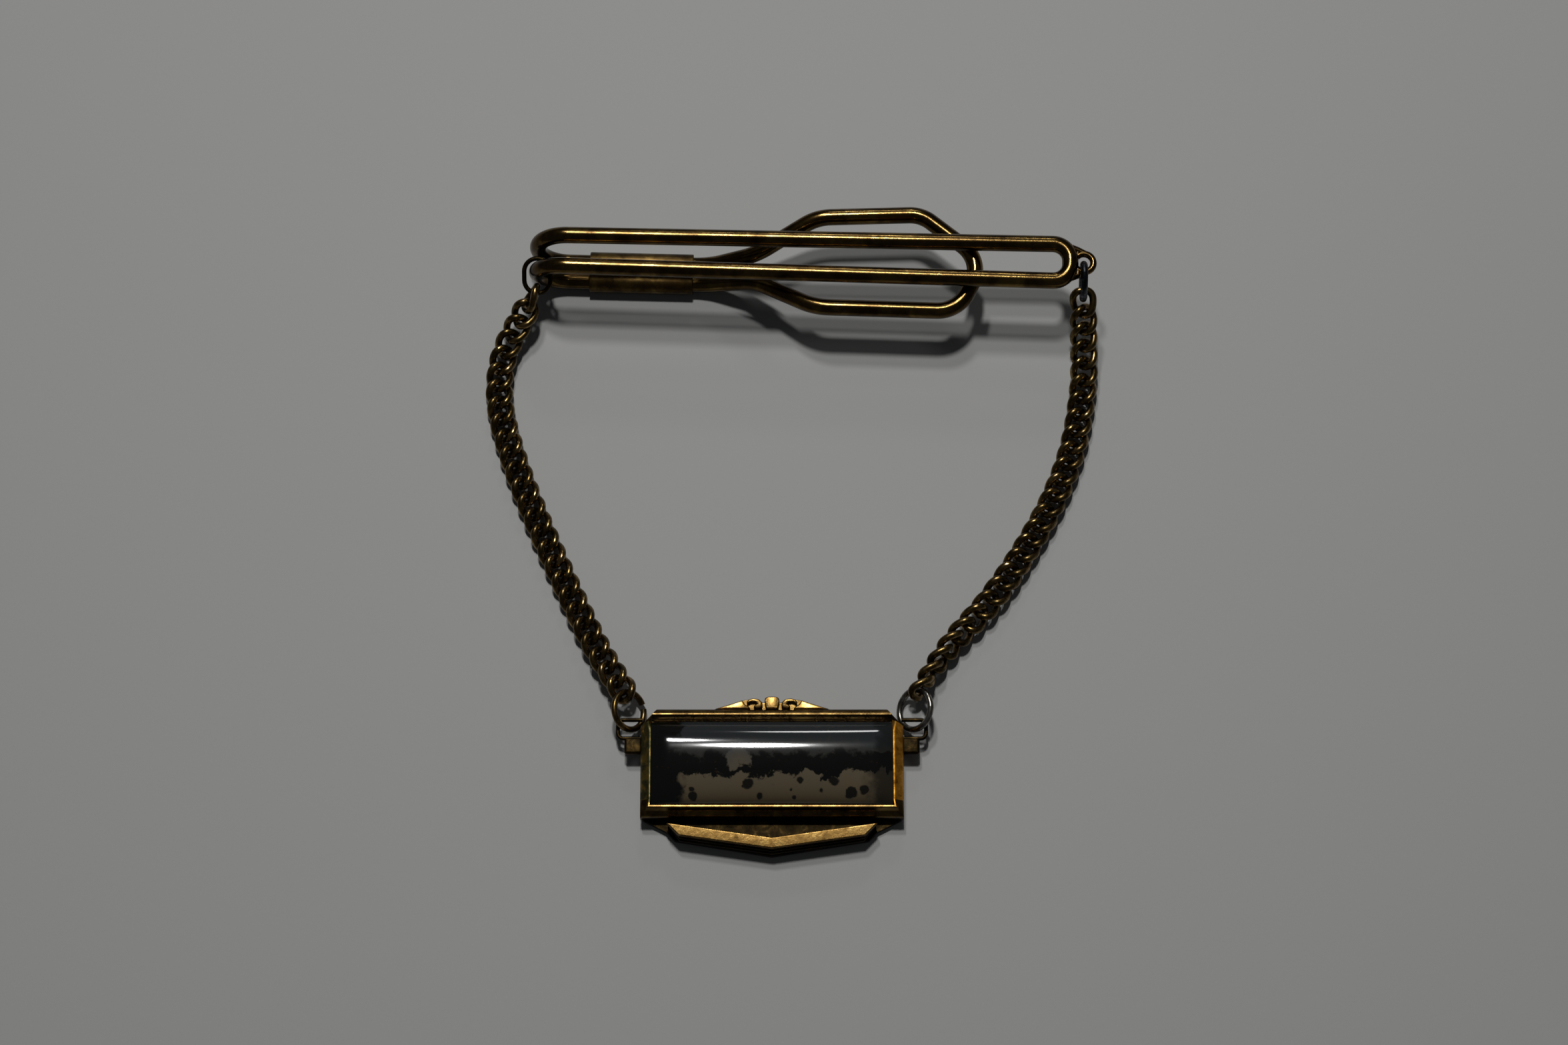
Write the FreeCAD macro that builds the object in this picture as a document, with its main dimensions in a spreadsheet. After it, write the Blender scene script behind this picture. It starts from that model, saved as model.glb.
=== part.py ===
"""Tie slide with a stone pendant hung from it by two curb chains, lying on its back on a table.

Millimetres, +Z up from the table.  The origin is the middle of the pendant's flat back.
+X runs along the slide to the right and +Y from the pendant towards the slide.
"""
import FreeCAD, Part
import math
import os

import Sketcher
from FreeCAD import Placement, Rotation, Vector

doc = FreeCAD.newDocument("tie_slide")

# Driving dimensions: lengths in millimetres, angles in degrees.
SIZES = [
    # Spring slide, bent from one round wire
    ("wire_diameter", 1.6),
    ("slide_length", 53.1),
    ("slide_left_x", -23.6),
    ("slide_axis_y", 49.5),
    ("slide_angle", -1.5),
    ("front_spacing_left", 3.1),
    ("front_spacing_right", 3.77),
    ("front_end_radius", 1.7),
    ("jaw_rise", 6.0),
    ("bend_slack", 0.03),
    ("back_spacing", 1.9),
    # Flattened tube crimped over the back wires
    ("sleeve_start", 5.75),
    ("sleeve_length", 10.1),
    ("sleeve_wall", 0.3),
    ("sleeve_bite", 0.02),
    # Neck and spring paddle at the end of the back wires
    ("neck_run", 1.5),
    ("waist_run", 4.65),
    ("waist_spacing", 2.8),
    ("shoulder_run", 5.8),
    ("paddle_length", 15.6),
    ("paddle_half_width", 4.5),
    ("paddle_gap", 0.2),
    ("neck_radius", 6.0),
    ("shoulder_radius", 5.0),
    ("paddle_corner_radius", 3.2),
    # Eye soldered to the end of the front bar, and the ring round the lower bend
    ("eye_radius", 0.92),
    ("eye_wire", 0.55),
    ("eye_offset", 0.5),
    ("clip_ring_radius", 1.65),
    ("clip_ring_wire", 0.45),
    ("clip_ring_level", 0.55),
    ("clip_ring_lean", 25.0),
    ("clip_ring_slack", 0.05),
    ("clip_ring_hook", 12.0),
    # Chains
    ("link_wire", 0.7),
    ("link_width", 2.7),
    ("link_play", 0.09),
    ("link_twist", 48.0),
    ("connector_wire", 0.7),
    ("connector_width", 2.75),
    ("connector_pitch", 2.6),
    ("chain_spread", 30.0),
    ("chain_drop", 47.0),
    ("chain_lie", 0.88),
    # Jump rings at the pendant
    ("ring_wire", 0.6),
    ("left_ring_radius", 1.8),
    ("right_ring_radius", 1.9),
    ("ring_lean", 42.0),
    ("ring_gap_angle", 14.0),
    ("ring_gap_place", 20.0),
    ("left_hook_angle", 108.0),
    ("right_hook_angle", 78.0),
    # Pendant
    ("frame_width", 24.7),
    ("frame_height", 10.2),
    ("frame_depth", 2.4),
    ("frame_corner", 1.9),
    ("frame_low_corner", 0.3),
    ("frame_rim_round", 0.45),
    ("frame_side_border", 1.05),
    ("frame_rim_border", 1.2),
    ("plate_thickness", 0.7),
    ("plate_inset", 0.2),
    ("plate_drop", 3.44),
    ("stone_play", 0.02),
    ("stone_girdle", 2.0),
    ("stone_crown", 1.5),
    ("stone_end_fall", 0.5),
    # Ornament above and below the frame
    ("crest_width", 11.2),
    ("crest_height", 1.35),
    ("crest_level", 1.9),
    ("crest_depth", 1.5),
    ("trim_width", 19.8),
    ("trim_bar", 1.05),
    ("trim_depth", 1.8),
    ("trim_foot", 0.35),
    ("trim_foot_depth", 0.9),
    ("trim_tip_drop", 0.55),
    ("trim_apex_drop", 1.95),
    # Lugs at the frame's sides
    ("lug_reach", 2.36),
    ("lug_root", 0.3),
    ("lug_arm", 0.38),
    ("lug_top_arm", 0.42),
    ("lug_foot", 1.7),
    ("lug_foot_reach", 1.6),
    ("lug_hole_height", 1.35),
    ("lug_hole_y", 3.4),
    ("lug_level", 1.65),
    ("lug_thickness", 0.45),
    ("lug_corner", 0.7),
]

LINK_ROWS = 27
ROLL_ROWS = 8
LINK_SPANS = 8
LINK_ROUND_SHARE = 0.8
ROUTE_STEPS = 80

# The waist's share of the rise from the back wires to the paddle
WAIST_RISE_SHARE = 0.57
# The paddle loop from its upper shoulder round to its lower one, as shares of its length and half width
PADDLE_SHARES = [
    (0.0, 1.04),
    (0.65, 1.16),
    (1.04, 0.13),
    (0.885, -1.02),
    (0.0, -1.0),
]
# Routes of the chains from the slide to the pendant, as shares of the chains' spread (x) and drop (y)
# and of the rise from the chains' lie to the front bar (z)
LEFT_ROUTE_SHARES = [
    (-0.802, 0.945, 0.32),
    (-0.848, 0.900, 0.125),
    (-0.879, 0.841, 0.02),
    (-0.879, 0.756, 0.0),
    (-0.837, 0.655, 0.0),
    (-0.778, 0.554, 0.0),
    (-0.705, 0.446, 0.0),
    (-0.627, 0.338, 0.01),
    (-0.550, 0.238, 0.06),
]
RIGHT_ROUTE_SHARES = [
    (0.999, 0.942, 0.58),
    (1.006, 0.872, 0.25),
    (1.005, 0.798, 0.05),
    (0.970, 0.672, 0.0),
    (0.900, 0.554, 0.0),
    (0.797, 0.437, 0.01),
    (0.685, 0.334, 0.05),
    (0.567, 0.249, 0.10),
]
# Lower edge of the back plate, as shares of the frame's half width and of the plate's drop
PLATE_EDGE_SHARES = [(0.806, 0.32), (0.737, 0.573)]
# Where the trim's lower edge starts, as a share of its half width
TRIM_FOOT_SHARE = 0.88
# Outlines of the crest's leaf, scroll and bead, as shares of its half width and height
CREST_LEAF_SHARES = [(0.12, 0.72), (0.30, 0.80), (0.46, 0.66), (0.66, 0.50), (0.88, 0.24), (1.0, 0.0)]
CREST_SCROLL_SHARES = [
    (0.15, 0.0),
    (0.15, 0.62),
    (0.22, 0.88),
    (0.35, 0.92),
    (0.46, 0.72),
    (0.48, 0.36),
    (0.40, 0.0),
]
CREST_BEAD_SHARES = [(0.08, 1.0), (0.125, 0.8), (0.125, 0.0)]
CREST_LEAF_DEPTH_SHARE = 0.6
CREST_SCROLL_DEPTH_SHARE = 0.85

sheet = doc.addObject("Spreadsheet::Sheet", "Sizes")
for row, (alias, value) in enumerate(SIZES, start=1):
    sheet.set(f"A{row}", alias)
    sheet.set(f"B{row}", str(value))
    sheet.setAlias(f"B{row}", alias)
doc.recompute()


class Dim:
    """A size: its value now, and the spreadsheet expression that gives it."""

    def __init__(self, value, text):
        self.value = value
        self.text = text

    def joined(self, sign, other, value):
        other_text = other.text if isinstance(other, Dim) else str(other)
        return Dim(value, f"({self.text} {sign} {other_text})")

    def __add__(self, other):
        return self.joined("+", other, self.value + amount(other))

    def __sub__(self, other):
        return self.joined("-", other, self.value - amount(other))

    def __mul__(self, other):
        return self.joined("*", other, self.value * amount(other))

    def __truediv__(self, other):
        return self.joined("/", other, self.value / amount(other))

    def __neg__(self):
        return Dim(-self.value, f"(0 - {self.text})")


def amount(length):
    return length.value if isinstance(length, Dim) else length


def size(alias):
    return float(sheet.get(alias))


def dim(alias):
    return Dim(size(alias), f"Sizes.{alias}")


def bind(thing, prop, length):
    """Ties a property to the sheet."""
    thing.setExpression(prop, length.text)


sub_parts = {}


def keep(thing, label):
    """Registers a finished sub-part under the name of its file."""
    thing.Label = label
    sub_parts[label] = thing
    return thing


def keep_shape(shape, label):
    """A sub-part swept from the sheet's values, where no feature fits."""
    feature = doc.addObject("Part::Feature", label)
    feature.Shape = shape
    return keep(feature, label)


# Heights and places that several pieces share
wire_radius = dim("wire_diameter") / 2
sleeve_bore = wire_radius - dim("sleeve_bite")
sleeve_radius = sleeve_bore + dim("sleeve_wall")
back_height = sleeve_radius
front_height = back_height + dim("jaw_rise")
bend_height = back_height + dim("jaw_rise") / 2
paddle_height = front_height - dim("wire_diameter") - dim("paddle_gap")
bend_spacing = (dim("front_spacing_left") + dim("back_spacing")) / 2
half_width = dim("frame_width") / 2
half_height = dim("frame_height") / 2
hole_length = dim("lug_reach") - dim("lug_root") - dim("lug_arm")
hole_x = half_width + dim("lug_root") + hole_length / 2

slide_placement = Placement(
    Vector(size("slide_left_x"), size("slide_axis_y"), 0),
    Rotation(Vector(0, 0, 1), size("slide_angle")),
)


# Round wires

def unit(vector):
    return vector / vector.Length


def rounded_wire(corners, radii):
    """A path of straight runs joined by tangent arcs, with one radius for each inner corner."""
    edges = []
    here = corners[0]
    for before, corner, after, radius in zip(corners, corners[1:], corners[2:], radii):
        into = unit(corner - before)
        out = unit(after - corner)
        half_turn = into.getAngle(out) / 2
        setback = radius * math.tan(half_turn)
        start = corner - into * setback
        end = corner + out * setback
        middle = corner + unit(out - into) * (radius / math.cos(half_turn) - radius)
        edges.append(Part.LineSegment(here, start).toShape())
        edges.append(Part.Arc(start, middle, end).toShape())
        here = end
    edges.append(Part.LineSegment(here, corners[-1]).toShape())
    return Part.Wire(edges)


def round_tube(edges, diameter):
    """A round solid swept along an open run of edges."""
    path = Part.Wire(edges)
    start = edges[0].valueAt(edges[0].FirstParameter)
    along = edges[0].tangentAt(edges[0].FirstParameter)
    section = Part.Wire(Part.makeCircle(diameter / 2, start, along))
    return path.makePipeShell([section], True, False)


def bar_ends(spacing, level, place):
    """The two points of a pair of bars at one place along the slide, upper one first."""
    half = amount(spacing) / 2
    return Vector(place, half, amount(level)), Vector(place, -half, amount(level))


def paddle_corner(shares, start):
    along, across = shares
    return Vector(
        start + along * size("paddle_length"),
        across * size("paddle_half_width"),
        paddle_height.value,
    )


bend_radius = size("jaw_rise") / 2 - size("bend_slack")
cut_upper, cut_lower = bar_ends(bend_spacing, bend_height, wire_radius.value)

knee_upper, knee_lower = bar_ends(dim("front_spacing_left"), front_height, wire_radius.value)
end_upper, end_lower = bar_ends(
    dim("front_spacing_right"), front_height, size("slide_length") - wire_radius.value
)
front_path = rounded_wire(
    [cut_upper, knee_upper, end_upper, end_lower, knee_lower, cut_lower],
    [bend_radius, size("front_end_radius"), size("front_end_radius"), bend_radius],
)
front_bar = keep_shape(round_tube(front_path.Edges, size("wire_diameter")), "front_bar_wire")
front_bar.Placement = slide_placement

neck_place = size("sleeve_start") + size("sleeve_length") + size("neck_run")
waist_place = neck_place + size("waist_run")
shoulder_place = waist_place + size("shoulder_run")
waist_height = back_height + (paddle_height - back_height) * WAIST_RISE_SHARE
heel_upper, heel_lower = bar_ends(dim("back_spacing"), back_height, wire_radius.value)
neck_upper, neck_lower = bar_ends(dim("back_spacing"), back_height, neck_place)
waist_upper, waist_lower = bar_ends(dim("waist_spacing"), waist_height, waist_place)
paddle_corners = [paddle_corner(shares, shoulder_place) for shares in PADDLE_SHARES]
neck_radii = [bend_radius, size("neck_radius"), size("neck_radius")]
paddle_path = rounded_wire(
    [cut_upper, heel_upper, neck_upper, waist_upper]
    + paddle_corners
    + [waist_lower, neck_lower, heel_lower, cut_lower],
    neck_radii
    + [size("shoulder_radius")]
    + [size("paddle_corner_radius")] * (len(PADDLE_SHARES) - 2)
    + [size("shoulder_radius")]
    + neck_radii[::-1],
)
paddle = keep_shape(round_tube(paddle_path.Edges, size("wire_diameter")), "back_paddle_wire")
paddle.Placement = slide_placement


# Sleeve: a flattened tube, its bore a little under the wires it is crimped on

def flat_bar(name, radius):
    """A bar along the slide with round edges centred on the two back wires."""
    slab = doc.addObject("Part::Box", f"{name}_slab")
    bind(slab, "Length", dim("sleeve_length"))
    bind(slab, "Width", dim("back_spacing"))
    bind(slab, "Height", radius * 2)
    bind(slab, "Placement.Base.x", dim("sleeve_start"))
    bind(slab, "Placement.Base.y", -dim("back_spacing") / 2)
    bind(slab, "Placement.Base.z", back_height - radius)
    shapes = [slab]
    for side, offset in (("upper", dim("back_spacing") / 2), ("lower", -dim("back_spacing") / 2)):
        edge = doc.addObject("Part::Cylinder", f"{name}_{side}")
        edge.Placement.Rotation = Rotation(Vector(0, 1, 0), 90)
        bind(edge, "Radius", radius)
        bind(edge, "Height", dim("sleeve_length"))
        bind(edge, "Placement.Base.x", dim("sleeve_start"))
        bind(edge, "Placement.Base.y", offset)
        bind(edge, "Placement.Base.z", back_height)
        shapes.append(edge)
    fused = doc.addObject("Part::MultiFuse", name)
    fused.Shapes = shapes
    fused.Refine = True
    return fused


sleeve = doc.addObject("Part::Cut", "sleeve_tube")
sleeve.Base = flat_bar("sleeve_outside", sleeve_radius)
sleeve.Tool = flat_bar("sleeve_inside", sleeve_bore)
sleeve.Placement = slide_placement
keep(sleeve, "sleeve")


# Rings

def ring(label, radius, wire, place, rotation, sweep=None):
    torus = doc.addObject("Part::Torus", label)
    bind(torus, "Radius1", radius)
    bind(torus, "Radius2", wire / 2)
    if sweep is not None:
        bind(torus, "Angle3", sweep)
    torus.Placement = Placement(place, rotation)
    return keep(torus, label)


eye_centre = slide_placement.multVec(
    Vector(size("slide_length") + size("eye_offset"), 0, front_height.value)
)
ring("right_eye", dim("eye_radius"), dim("eye_wire"), eye_centre, slide_placement.Rotation)

# The lower bend's axis where the clip ring crosses it, and the ring hanging as far south as it can
ring_rise = size("clip_ring_level")
bend_fall = bend_radius - math.sqrt(bend_radius ** 2 - ring_rise ** 2)
bend_spread = bend_spacing.value + (size("front_spacing_left") - bend_spacing.value) * (
    ring_rise / (size("jaw_rise") / 2)
)
bend_point = Vector(
    wire_radius.value + bend_fall, -bend_spread / 2, bend_height.value + ring_rise
)
clip_ring_lean = Rotation(Vector(1, 0, 0), size("clip_ring_lean"))
clip_ring_bore = size("clip_ring_radius") - size("clip_ring_wire") / 2
lean_cosine = math.cos(math.radians(size("clip_ring_lean")))
clip_ring_sag = clip_ring_bore - wire_radius.value / lean_cosine - size("clip_ring_slack")
clip_ring_down = clip_ring_lean.multVec(Vector(0, -1, 0))
clip_ring_centre = slide_placement.multVec(bend_point) + clip_ring_down * clip_ring_sag
ring(
    "left_clip_ring",
    dim("clip_ring_radius"),
    dim("clip_ring_wire"),
    clip_ring_centre,
    clip_ring_lean,
)

ring_frames = {}
for side, sign in (("left", -1), ("right", 1)):
    radius = size(f"{side}_ring_radius")
    lean = Rotation(Vector(0, 1, 0), -sign * size("ring_lean"))
    centre = Vector(sign * hole_x.value, size("lug_hole_y") + radius, size("lug_level"))
    ring_frames[side] = (centre, lean, radius)

left_centre, left_lean, _ = ring_frames["left"]
gap_turn = Rotation(Vector(0, 0, 1), size("ring_gap_place") + size("ring_gap_angle") / 2)
full_turn = Dim(360, "360")
ring(
    "left_jump_ring",
    dim("left_ring_radius"),
    dim("ring_wire"),
    left_centre,
    left_lean.multiply(gap_turn),
    full_turn - dim("ring_gap_angle"),
)
right_centre, right_lean, _ = ring_frames["right"]
ring("right_jump_ring", dim("right_ring_radius"), dim("ring_wire"), right_centre, right_lean)


# Chains

def power(value, exponent):
    return math.copysign(abs(value) ** exponent, value)


def arc_edge(start, tangent, end):
    """The arc that leaves start along the tangent and ends at end."""
    chord = end - start
    side = tangent - unit(chord) * tangent.dot(unit(chord))
    if side.Length < 1e-9:
        return Part.LineSegment(start, end).toShape()
    bulge = chord.Length / 2 * math.tan(tangent.getAngle(chord) / 2)
    return Part.Arc(start, start + chord / 2 + unit(side) * bulge, end).toShape()


def arc_pair(start, start_tangent, end, end_tangent):
    """Two arcs, tangent to each other, between two points with given directions."""
    span = end - start
    both = start_tangent + end_tangent
    lead = 2 * (1 - start_tangent.dot(end_tangent))
    drift = span.dot(both)
    reach = (math.sqrt(drift ** 2 + lead * span.dot(span)) - drift) / lead
    first_knee = start + start_tangent * reach
    last_knee = end - end_tangent * reach
    meeting = (first_knee + last_knee) / 2
    return [
        arc_edge(start, start_tangent, meeting),
        arc_edge(meeting, unit(last_knee - first_knee), end),
    ]


def cross_axes(along):
    """Directions across a link: level, and up."""
    level = unit(Vector(0, 0, 1).cross(along))
    return level, along.cross(level)


def link_solid(start, end, tilts, wire, width):
    """A closed link that hooks its neighbours at start and end, turned by tilts at its two bows."""
    along = unit(end - start)
    level, up = cross_axes(along)
    middle = (start + end) / 2
    half_long = ((end - start).Length + wire + size("link_play")) / 2
    half_wide = (width - wire) / 2
    mean_tilt = math.radians(tilts[1] + tilts[0]) / 2
    half_twist = math.radians(tilts[1] - tilts[0]) / 2

    def point(turn):
        lengthwise = power(math.cos(turn), LINK_ROUND_SHARE)
        sideways = power(math.sin(turn), LINK_ROUND_SHARE) * half_wide
        tilt = mean_tilt + half_twist * lengthwise
        across = level * math.cos(tilt) + up * math.sin(tilt)
        return middle + along * (lengthwise * half_long) + across * sideways

    nudge = 1e-4
    turns = [2 * math.pi * step / LINK_SPANS for step in range(LINK_SPANS)]
    points = [point(turn) for turn in turns]
    tangents = [unit(point(turn + nudge) - point(turn - nudge)) for turn in turns]
    edges = []
    for here in range(LINK_SPANS):
        there = (here + 1) % LINK_SPANS
        edges += arc_pair(points[here], tangents[here], points[there], tangents[there])
    halves = [round_tube(edges[:LINK_SPANS], wire), round_tube(edges[LINK_SPANS:], wire)]
    return halves[0].fuse(halves[1]).Solids[0]


def spline_points(controls):
    """Closely spaced points on a smooth curve through the controls."""
    ends = [controls[0] * 2 - controls[1], controls[-1] * 2 - controls[-2]]
    padded = [ends[0]] + controls + [ends[1]]
    points = []
    for a, b, c, d in zip(padded, padded[1:], padded[2:], padded[3:]):
        for step in range(ROUTE_STEPS):
            t = step / ROUTE_STEPS
            bend = (a * 2 - b * 5 + c * 4 - d) * t ** 2 + (b * 3 - a - c * 3 + d) * t ** 3
            points.append(b + ((c - a) * t + bend) / 2)
    return points + [controls[-1]]


def walk(points, pitch, count):
    """Places on a route one chord apart, and how much of the route is left after the last."""
    places = [points[0]]
    position = 0
    while len(places) <= count:
        here = places[-1]
        while position + 1 < len(points) and (points[position + 1] - here).Length < pitch:
            position += 1
        if position + 1 >= len(points):
            return places, (points[-1] - here).Length - pitch
        before = points[position]
        after = points[position + 1]
        near = (before - here).Length
        far = (after - here).Length
        places.append(before + (after - before) * ((pitch - near) / (far - near)))
    return places, (points[-1] - places[-1]).Length


def even_places(points, count):
    """Stations that divide a route into equal chords."""
    low = (points[-1] - points[0]).Length / count
    high = low * 2
    for _ in range(60):
        pitch = (low + high) / 2
        places, rest = walk(points, pitch, count)
        if len(places) <= count or rest < 0:
            high = pitch
        else:
            low = pitch
    places, _ = walk(points, low, count)
    places[-1] = points[-1]
    return places


def route_controls(shares):
    lie = size("chain_lie")
    return [
        Vector(
            across * size("chain_spread"),
            along * size("chain_drop"),
            lie + lift * (front_height.value - lie),
        )
        for across, along, lift in shares
    ]


def hook_point(side):
    """The wire centre of a pendant ring where its chain hooks in, and the wire's direction there."""
    centre, lean, radius = ring_frames[side]
    angle = math.radians(size(f"{side}_hook_angle"))
    spoke = lean.multVec(Vector(math.cos(angle), math.sin(angle), 0))
    tangent = lean.multVec(Vector(-math.sin(angle), math.cos(angle), 0))
    return centre + spoke * radius, tangent


def seat(wire_centre, along, wire):
    """The contact point half a gap short of a wire, seen along the chain."""
    return wire_centre + along * ((wire + size("link_play")) / 2)


def chain_end(side, controls):
    hook, tangent = hook_point(side)
    along = unit(hook - controls[-1])
    return seat(hook, along, size("ring_wire")), tangent


def square_tilt(along, tangent, highest):
    """The tilt that sets a link's bow square to a wire, in the half turn that ends at highest."""
    level, up = cross_axes(along)
    tilt = math.degrees(math.atan2(tangent.dot(up), tangent.dot(level))) + 90
    while tilt > highest:
        tilt -= 180
    while tilt <= highest - 180:
        tilt += 180
    return tilt


def link_tilts(places, first_tilt, tangent, highest):
    """Start and end tilts of the links of one chain, the last of them rolled to suit its ring."""
    twist = size("link_twist")
    last = square_tilt(unit(places[-1] - places[-2]), tangent, highest)
    count = len(places) - 1
    tilts = []
    for number in range(count):
        rolled = max(0, number + 1 + ROLL_ROWS - count)
        before = max(0, rolled - 1)
        start = -twist + (last - twist) * before / ROLL_ROWS
        end = twist + (last - twist) * rolled / ROLL_ROWS
        tilts.append((start if number else first_tilt, end))
    return tilts


left_controls = route_controls(LEFT_ROUTE_SHARES)
right_controls = route_controls(RIGHT_ROUTE_SHARES)

hook_turn = Rotation(Vector(0, 0, 1), -size("clip_ring_hook"))
clip_ring_spoke = clip_ring_lean.multVec(hook_turn.multVec(Vector(0, -1, 0)))
clip_ring_tangent = clip_ring_lean.multVec(hook_turn.multVec(Vector(1, 0, 0)))
clip_ring_low = clip_ring_centre + clip_ring_spoke * size("clip_ring_radius")
left_along = unit(left_controls[0] - clip_ring_low)
left_start = seat(clip_ring_low, -left_along, size("clip_ring_wire"))
left_end, left_tangent = chain_end("left", left_controls)
left_route = spline_points([left_start] + left_controls + [left_end])
left_places = even_places(left_route, LINK_ROWS - 1)
left_first = square_tilt(unit(left_places[1] - left_places[0]), clip_ring_tangent, 180)
left_tilts = link_tilts(left_places, left_first, left_tangent, 90)

eye_low = eye_centre + slide_placement.Rotation.multVec(Vector(0, -size("eye_radius"), 0))
right_along = unit(right_controls[0] - eye_low)
right_start = seat(eye_low, -right_along, size("eye_wire"))
connector_end = right_start + right_along * size("connector_pitch")
right_end, right_tangent = chain_end("right", right_controls)
right_route = spline_points([connector_end] + right_controls[1:] + [right_end])
right_places = even_places(right_route, LINK_ROWS - 1)
right_tilts = link_tilts(right_places, 0, right_tangent, 0)

keep_shape(
    link_solid(
        right_start,
        connector_end,
        (90, 90),
        size("connector_wire"),
        size("connector_width"),
    ),
    "right_connector_link",
)
for number in range(LINK_ROWS - 1):
    pair = []
    for places, tilts in ((left_places, left_tilts), (right_places, right_tilts)):
        pair.append(
            link_solid(
                places[number],
                places[number + 1],
                tilts[number],
                size("link_wire"),
                size("link_width"),
            )
        )
    keep_shape(Part.makeCompound(pair), f"chain_links_{number + 2:02d}")

# The hinge lines between rows, from the slide to the pendant
hinges = [(clip_ring_centre, right_start)] + list(zip(left_places, right_places))
pendant_hinge = [Vector(sign * hole_x.value, size("lug_hole_y"), size("lug_level")) for sign in (-1, 1)]
for number, (left_point, right_point) in enumerate(hinges + [pendant_hinge]):
    numbers = [f"{value:.5f}" for point in (left_point, right_point) for value in point]
    print("hinge", number, *numbers)
spring_point = slide_placement.multVec(Vector(0, 0, bend_height.value))
print("spring", *[f"{value:.5f}" for value in spring_point])


# Pendant

def closed_loop(sketch, points):
    """Straight sides between points, each point placed from the sketch's origin by the sheet."""
    first = sketch.GeometryCount
    corners = [Vector(amount(x), amount(y), 0) for x, y in points]
    for start, end in zip(corners, corners[1:] + corners[:1]):
        sketch.addGeometry(Part.LineSegment(start, end), False)
    for number, (x, y) in enumerate(points):
        side = first + number
        following = first + (number + 1) % len(points)
        sketch.addConstraint(Sketcher.Constraint("Coincident", side, 2, following, 1))
        for kind, length, axis in (("DistanceX", x, -2), ("DistanceY", y, -1)):
            if amount(length) == 0:
                sketch.addConstraint(Sketcher.Constraint("PointOnObject", side, 1, axis))
                continue
            constraint = Sketcher.Constraint(kind, -1, 1, side, 1, amount(length))
            index = sketch.addConstraint(constraint)
            bind(sketch, f"Constraints[{index}]", length)


def add_pad(body, name, loops, bottom, depth):
    sketch = body.newObject("Sketcher::SketchObject", f"{name}_sketch")
    level = [plane for plane in body.Origin.OriginFeatures if plane.Role == "XY_Plane"][0]
    sketch.AttachmentSupport = [(level, "")]
    sketch.MapMode = "FlatFace"
    bind(sketch, "AttachmentOffset.Base.z", bottom)
    for loop in loops:
        closed_loop(sketch, loop)
    pad = body.newObject("PartDesign::Pad", f"{name}_pad")
    pad.Profile = sketch
    bind(pad, "Length", depth)
    doc.recompute()
    return pad


def plate_body(label, loops, bottom, depth):
    body = doc.addObject("PartDesign::Body", label)
    keep(body, label)
    return body, add_pad(body, label, loops, bottom, depth)


def round_edges(body, pad, name, wanted, radius):
    """Rounds the edges of a pad that the test picks out."""
    names = [f"Edge{n}" for n, edge in enumerate(pad.Shape.Edges, start=1) if wanted(edge)]
    fillet = body.newObject("PartDesign::Fillet", name)
    fillet.Base = (pad, names)
    bind(fillet, "Radius", radius)
    doc.recompute()
    return fillet


def mirrored(points):
    """A loop from its right half, listed from the top down, with the left half added."""
    right = [(x, y) for x, y in points]
    left = [(-x, y) for x, y in reversed(points) if amount(x) != 0]
    return right + left


frame_bottom = -half_height
plate_side = half_width - dim("plate_inset")
plate_points = [
    (half_width - dim("frame_corner"), half_height - dim("plate_inset")),
    (plate_side, half_height - dim("frame_corner")),
    (plate_side, frame_bottom),
]
for across, drop in PLATE_EDGE_SHARES:
    plate_points.append((half_width * across, frame_bottom - dim("plate_drop") * drop))
nothing = Dim(0, "0")
plate_points.append((nothing, frame_bottom - dim("plate_drop")))
plate_body("back_plate", [mirrored(plate_points)], nothing, dim("plate_thickness"))

frame_outline = mirrored([
    (half_width - dim("frame_corner"), half_height),
    (half_width, half_height - dim("frame_corner")),
    (half_width, frame_bottom + dim("frame_low_corner")),
    (half_width - dim("frame_low_corner"), frame_bottom),
])
opening_x = half_width - dim("frame_side_border")
opening_y = half_height - dim("frame_rim_border")
frame_opening = mirrored([(opening_x, opening_y), (opening_x, -opening_y)])
frame_top = dim("plate_thickness") + dim("frame_depth")
frame_body, frame_pad = plate_body(
    "bezel_frame", [frame_outline, frame_opening], dim("plate_thickness"), dim("frame_depth")
)


def on_outer_rim(edge):
    box = edge.BoundBox
    outside = max(abs(box.XMin), abs(box.XMax)) > opening_x.value + size("stone_play")
    outside = outside or max(abs(box.YMin), abs(box.YMax)) > opening_y.value + size("stone_play")
    return outside and abs(box.ZMin - frame_top.value) < 1e-6


round_edges(frame_body, frame_pad, "frame_rim", on_outer_rim, dim("frame_rim_round"))

# The stone: a block in the frame's opening, domed across and falling a little towards its ends
stone_x = opening_x - dim("stone_play")
stone_y = opening_y - dim("stone_play")
stone_top = dim("plate_thickness") + dim("stone_girdle") + dim("stone_crown")


def dome_radius(half, rise):
    return (half * half + rise * rise) / (rise * 2)


stone_block = doc.addObject("Part::Box", "stone_block")
bind(stone_block, "Length", stone_x * 2)
bind(stone_block, "Width", stone_y * 2)
bind(stone_block, "Height", dim("stone_girdle") + dim("stone_crown"))
bind(stone_block, "Placement.Base.x", -stone_x)
bind(stone_block, "Placement.Base.y", -stone_y)
bind(stone_block, "Placement.Base.z", dim("plate_thickness"))
dome_across = doc.addObject("Part::Cylinder", "stone_dome_across")
dome_across.Placement.Rotation = Rotation(Vector(0, 1, 0), 90)
across_radius = dome_radius(stone_y, dim("stone_crown"))
bind(dome_across, "Radius", across_radius)
bind(dome_across, "Height", half_width * 2)
bind(dome_across, "Placement.Base.x", -half_width)
bind(dome_across, "Placement.Base.z", stone_top - across_radius)
dome_along = doc.addObject("Part::Cylinder", "stone_dome_along")
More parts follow.
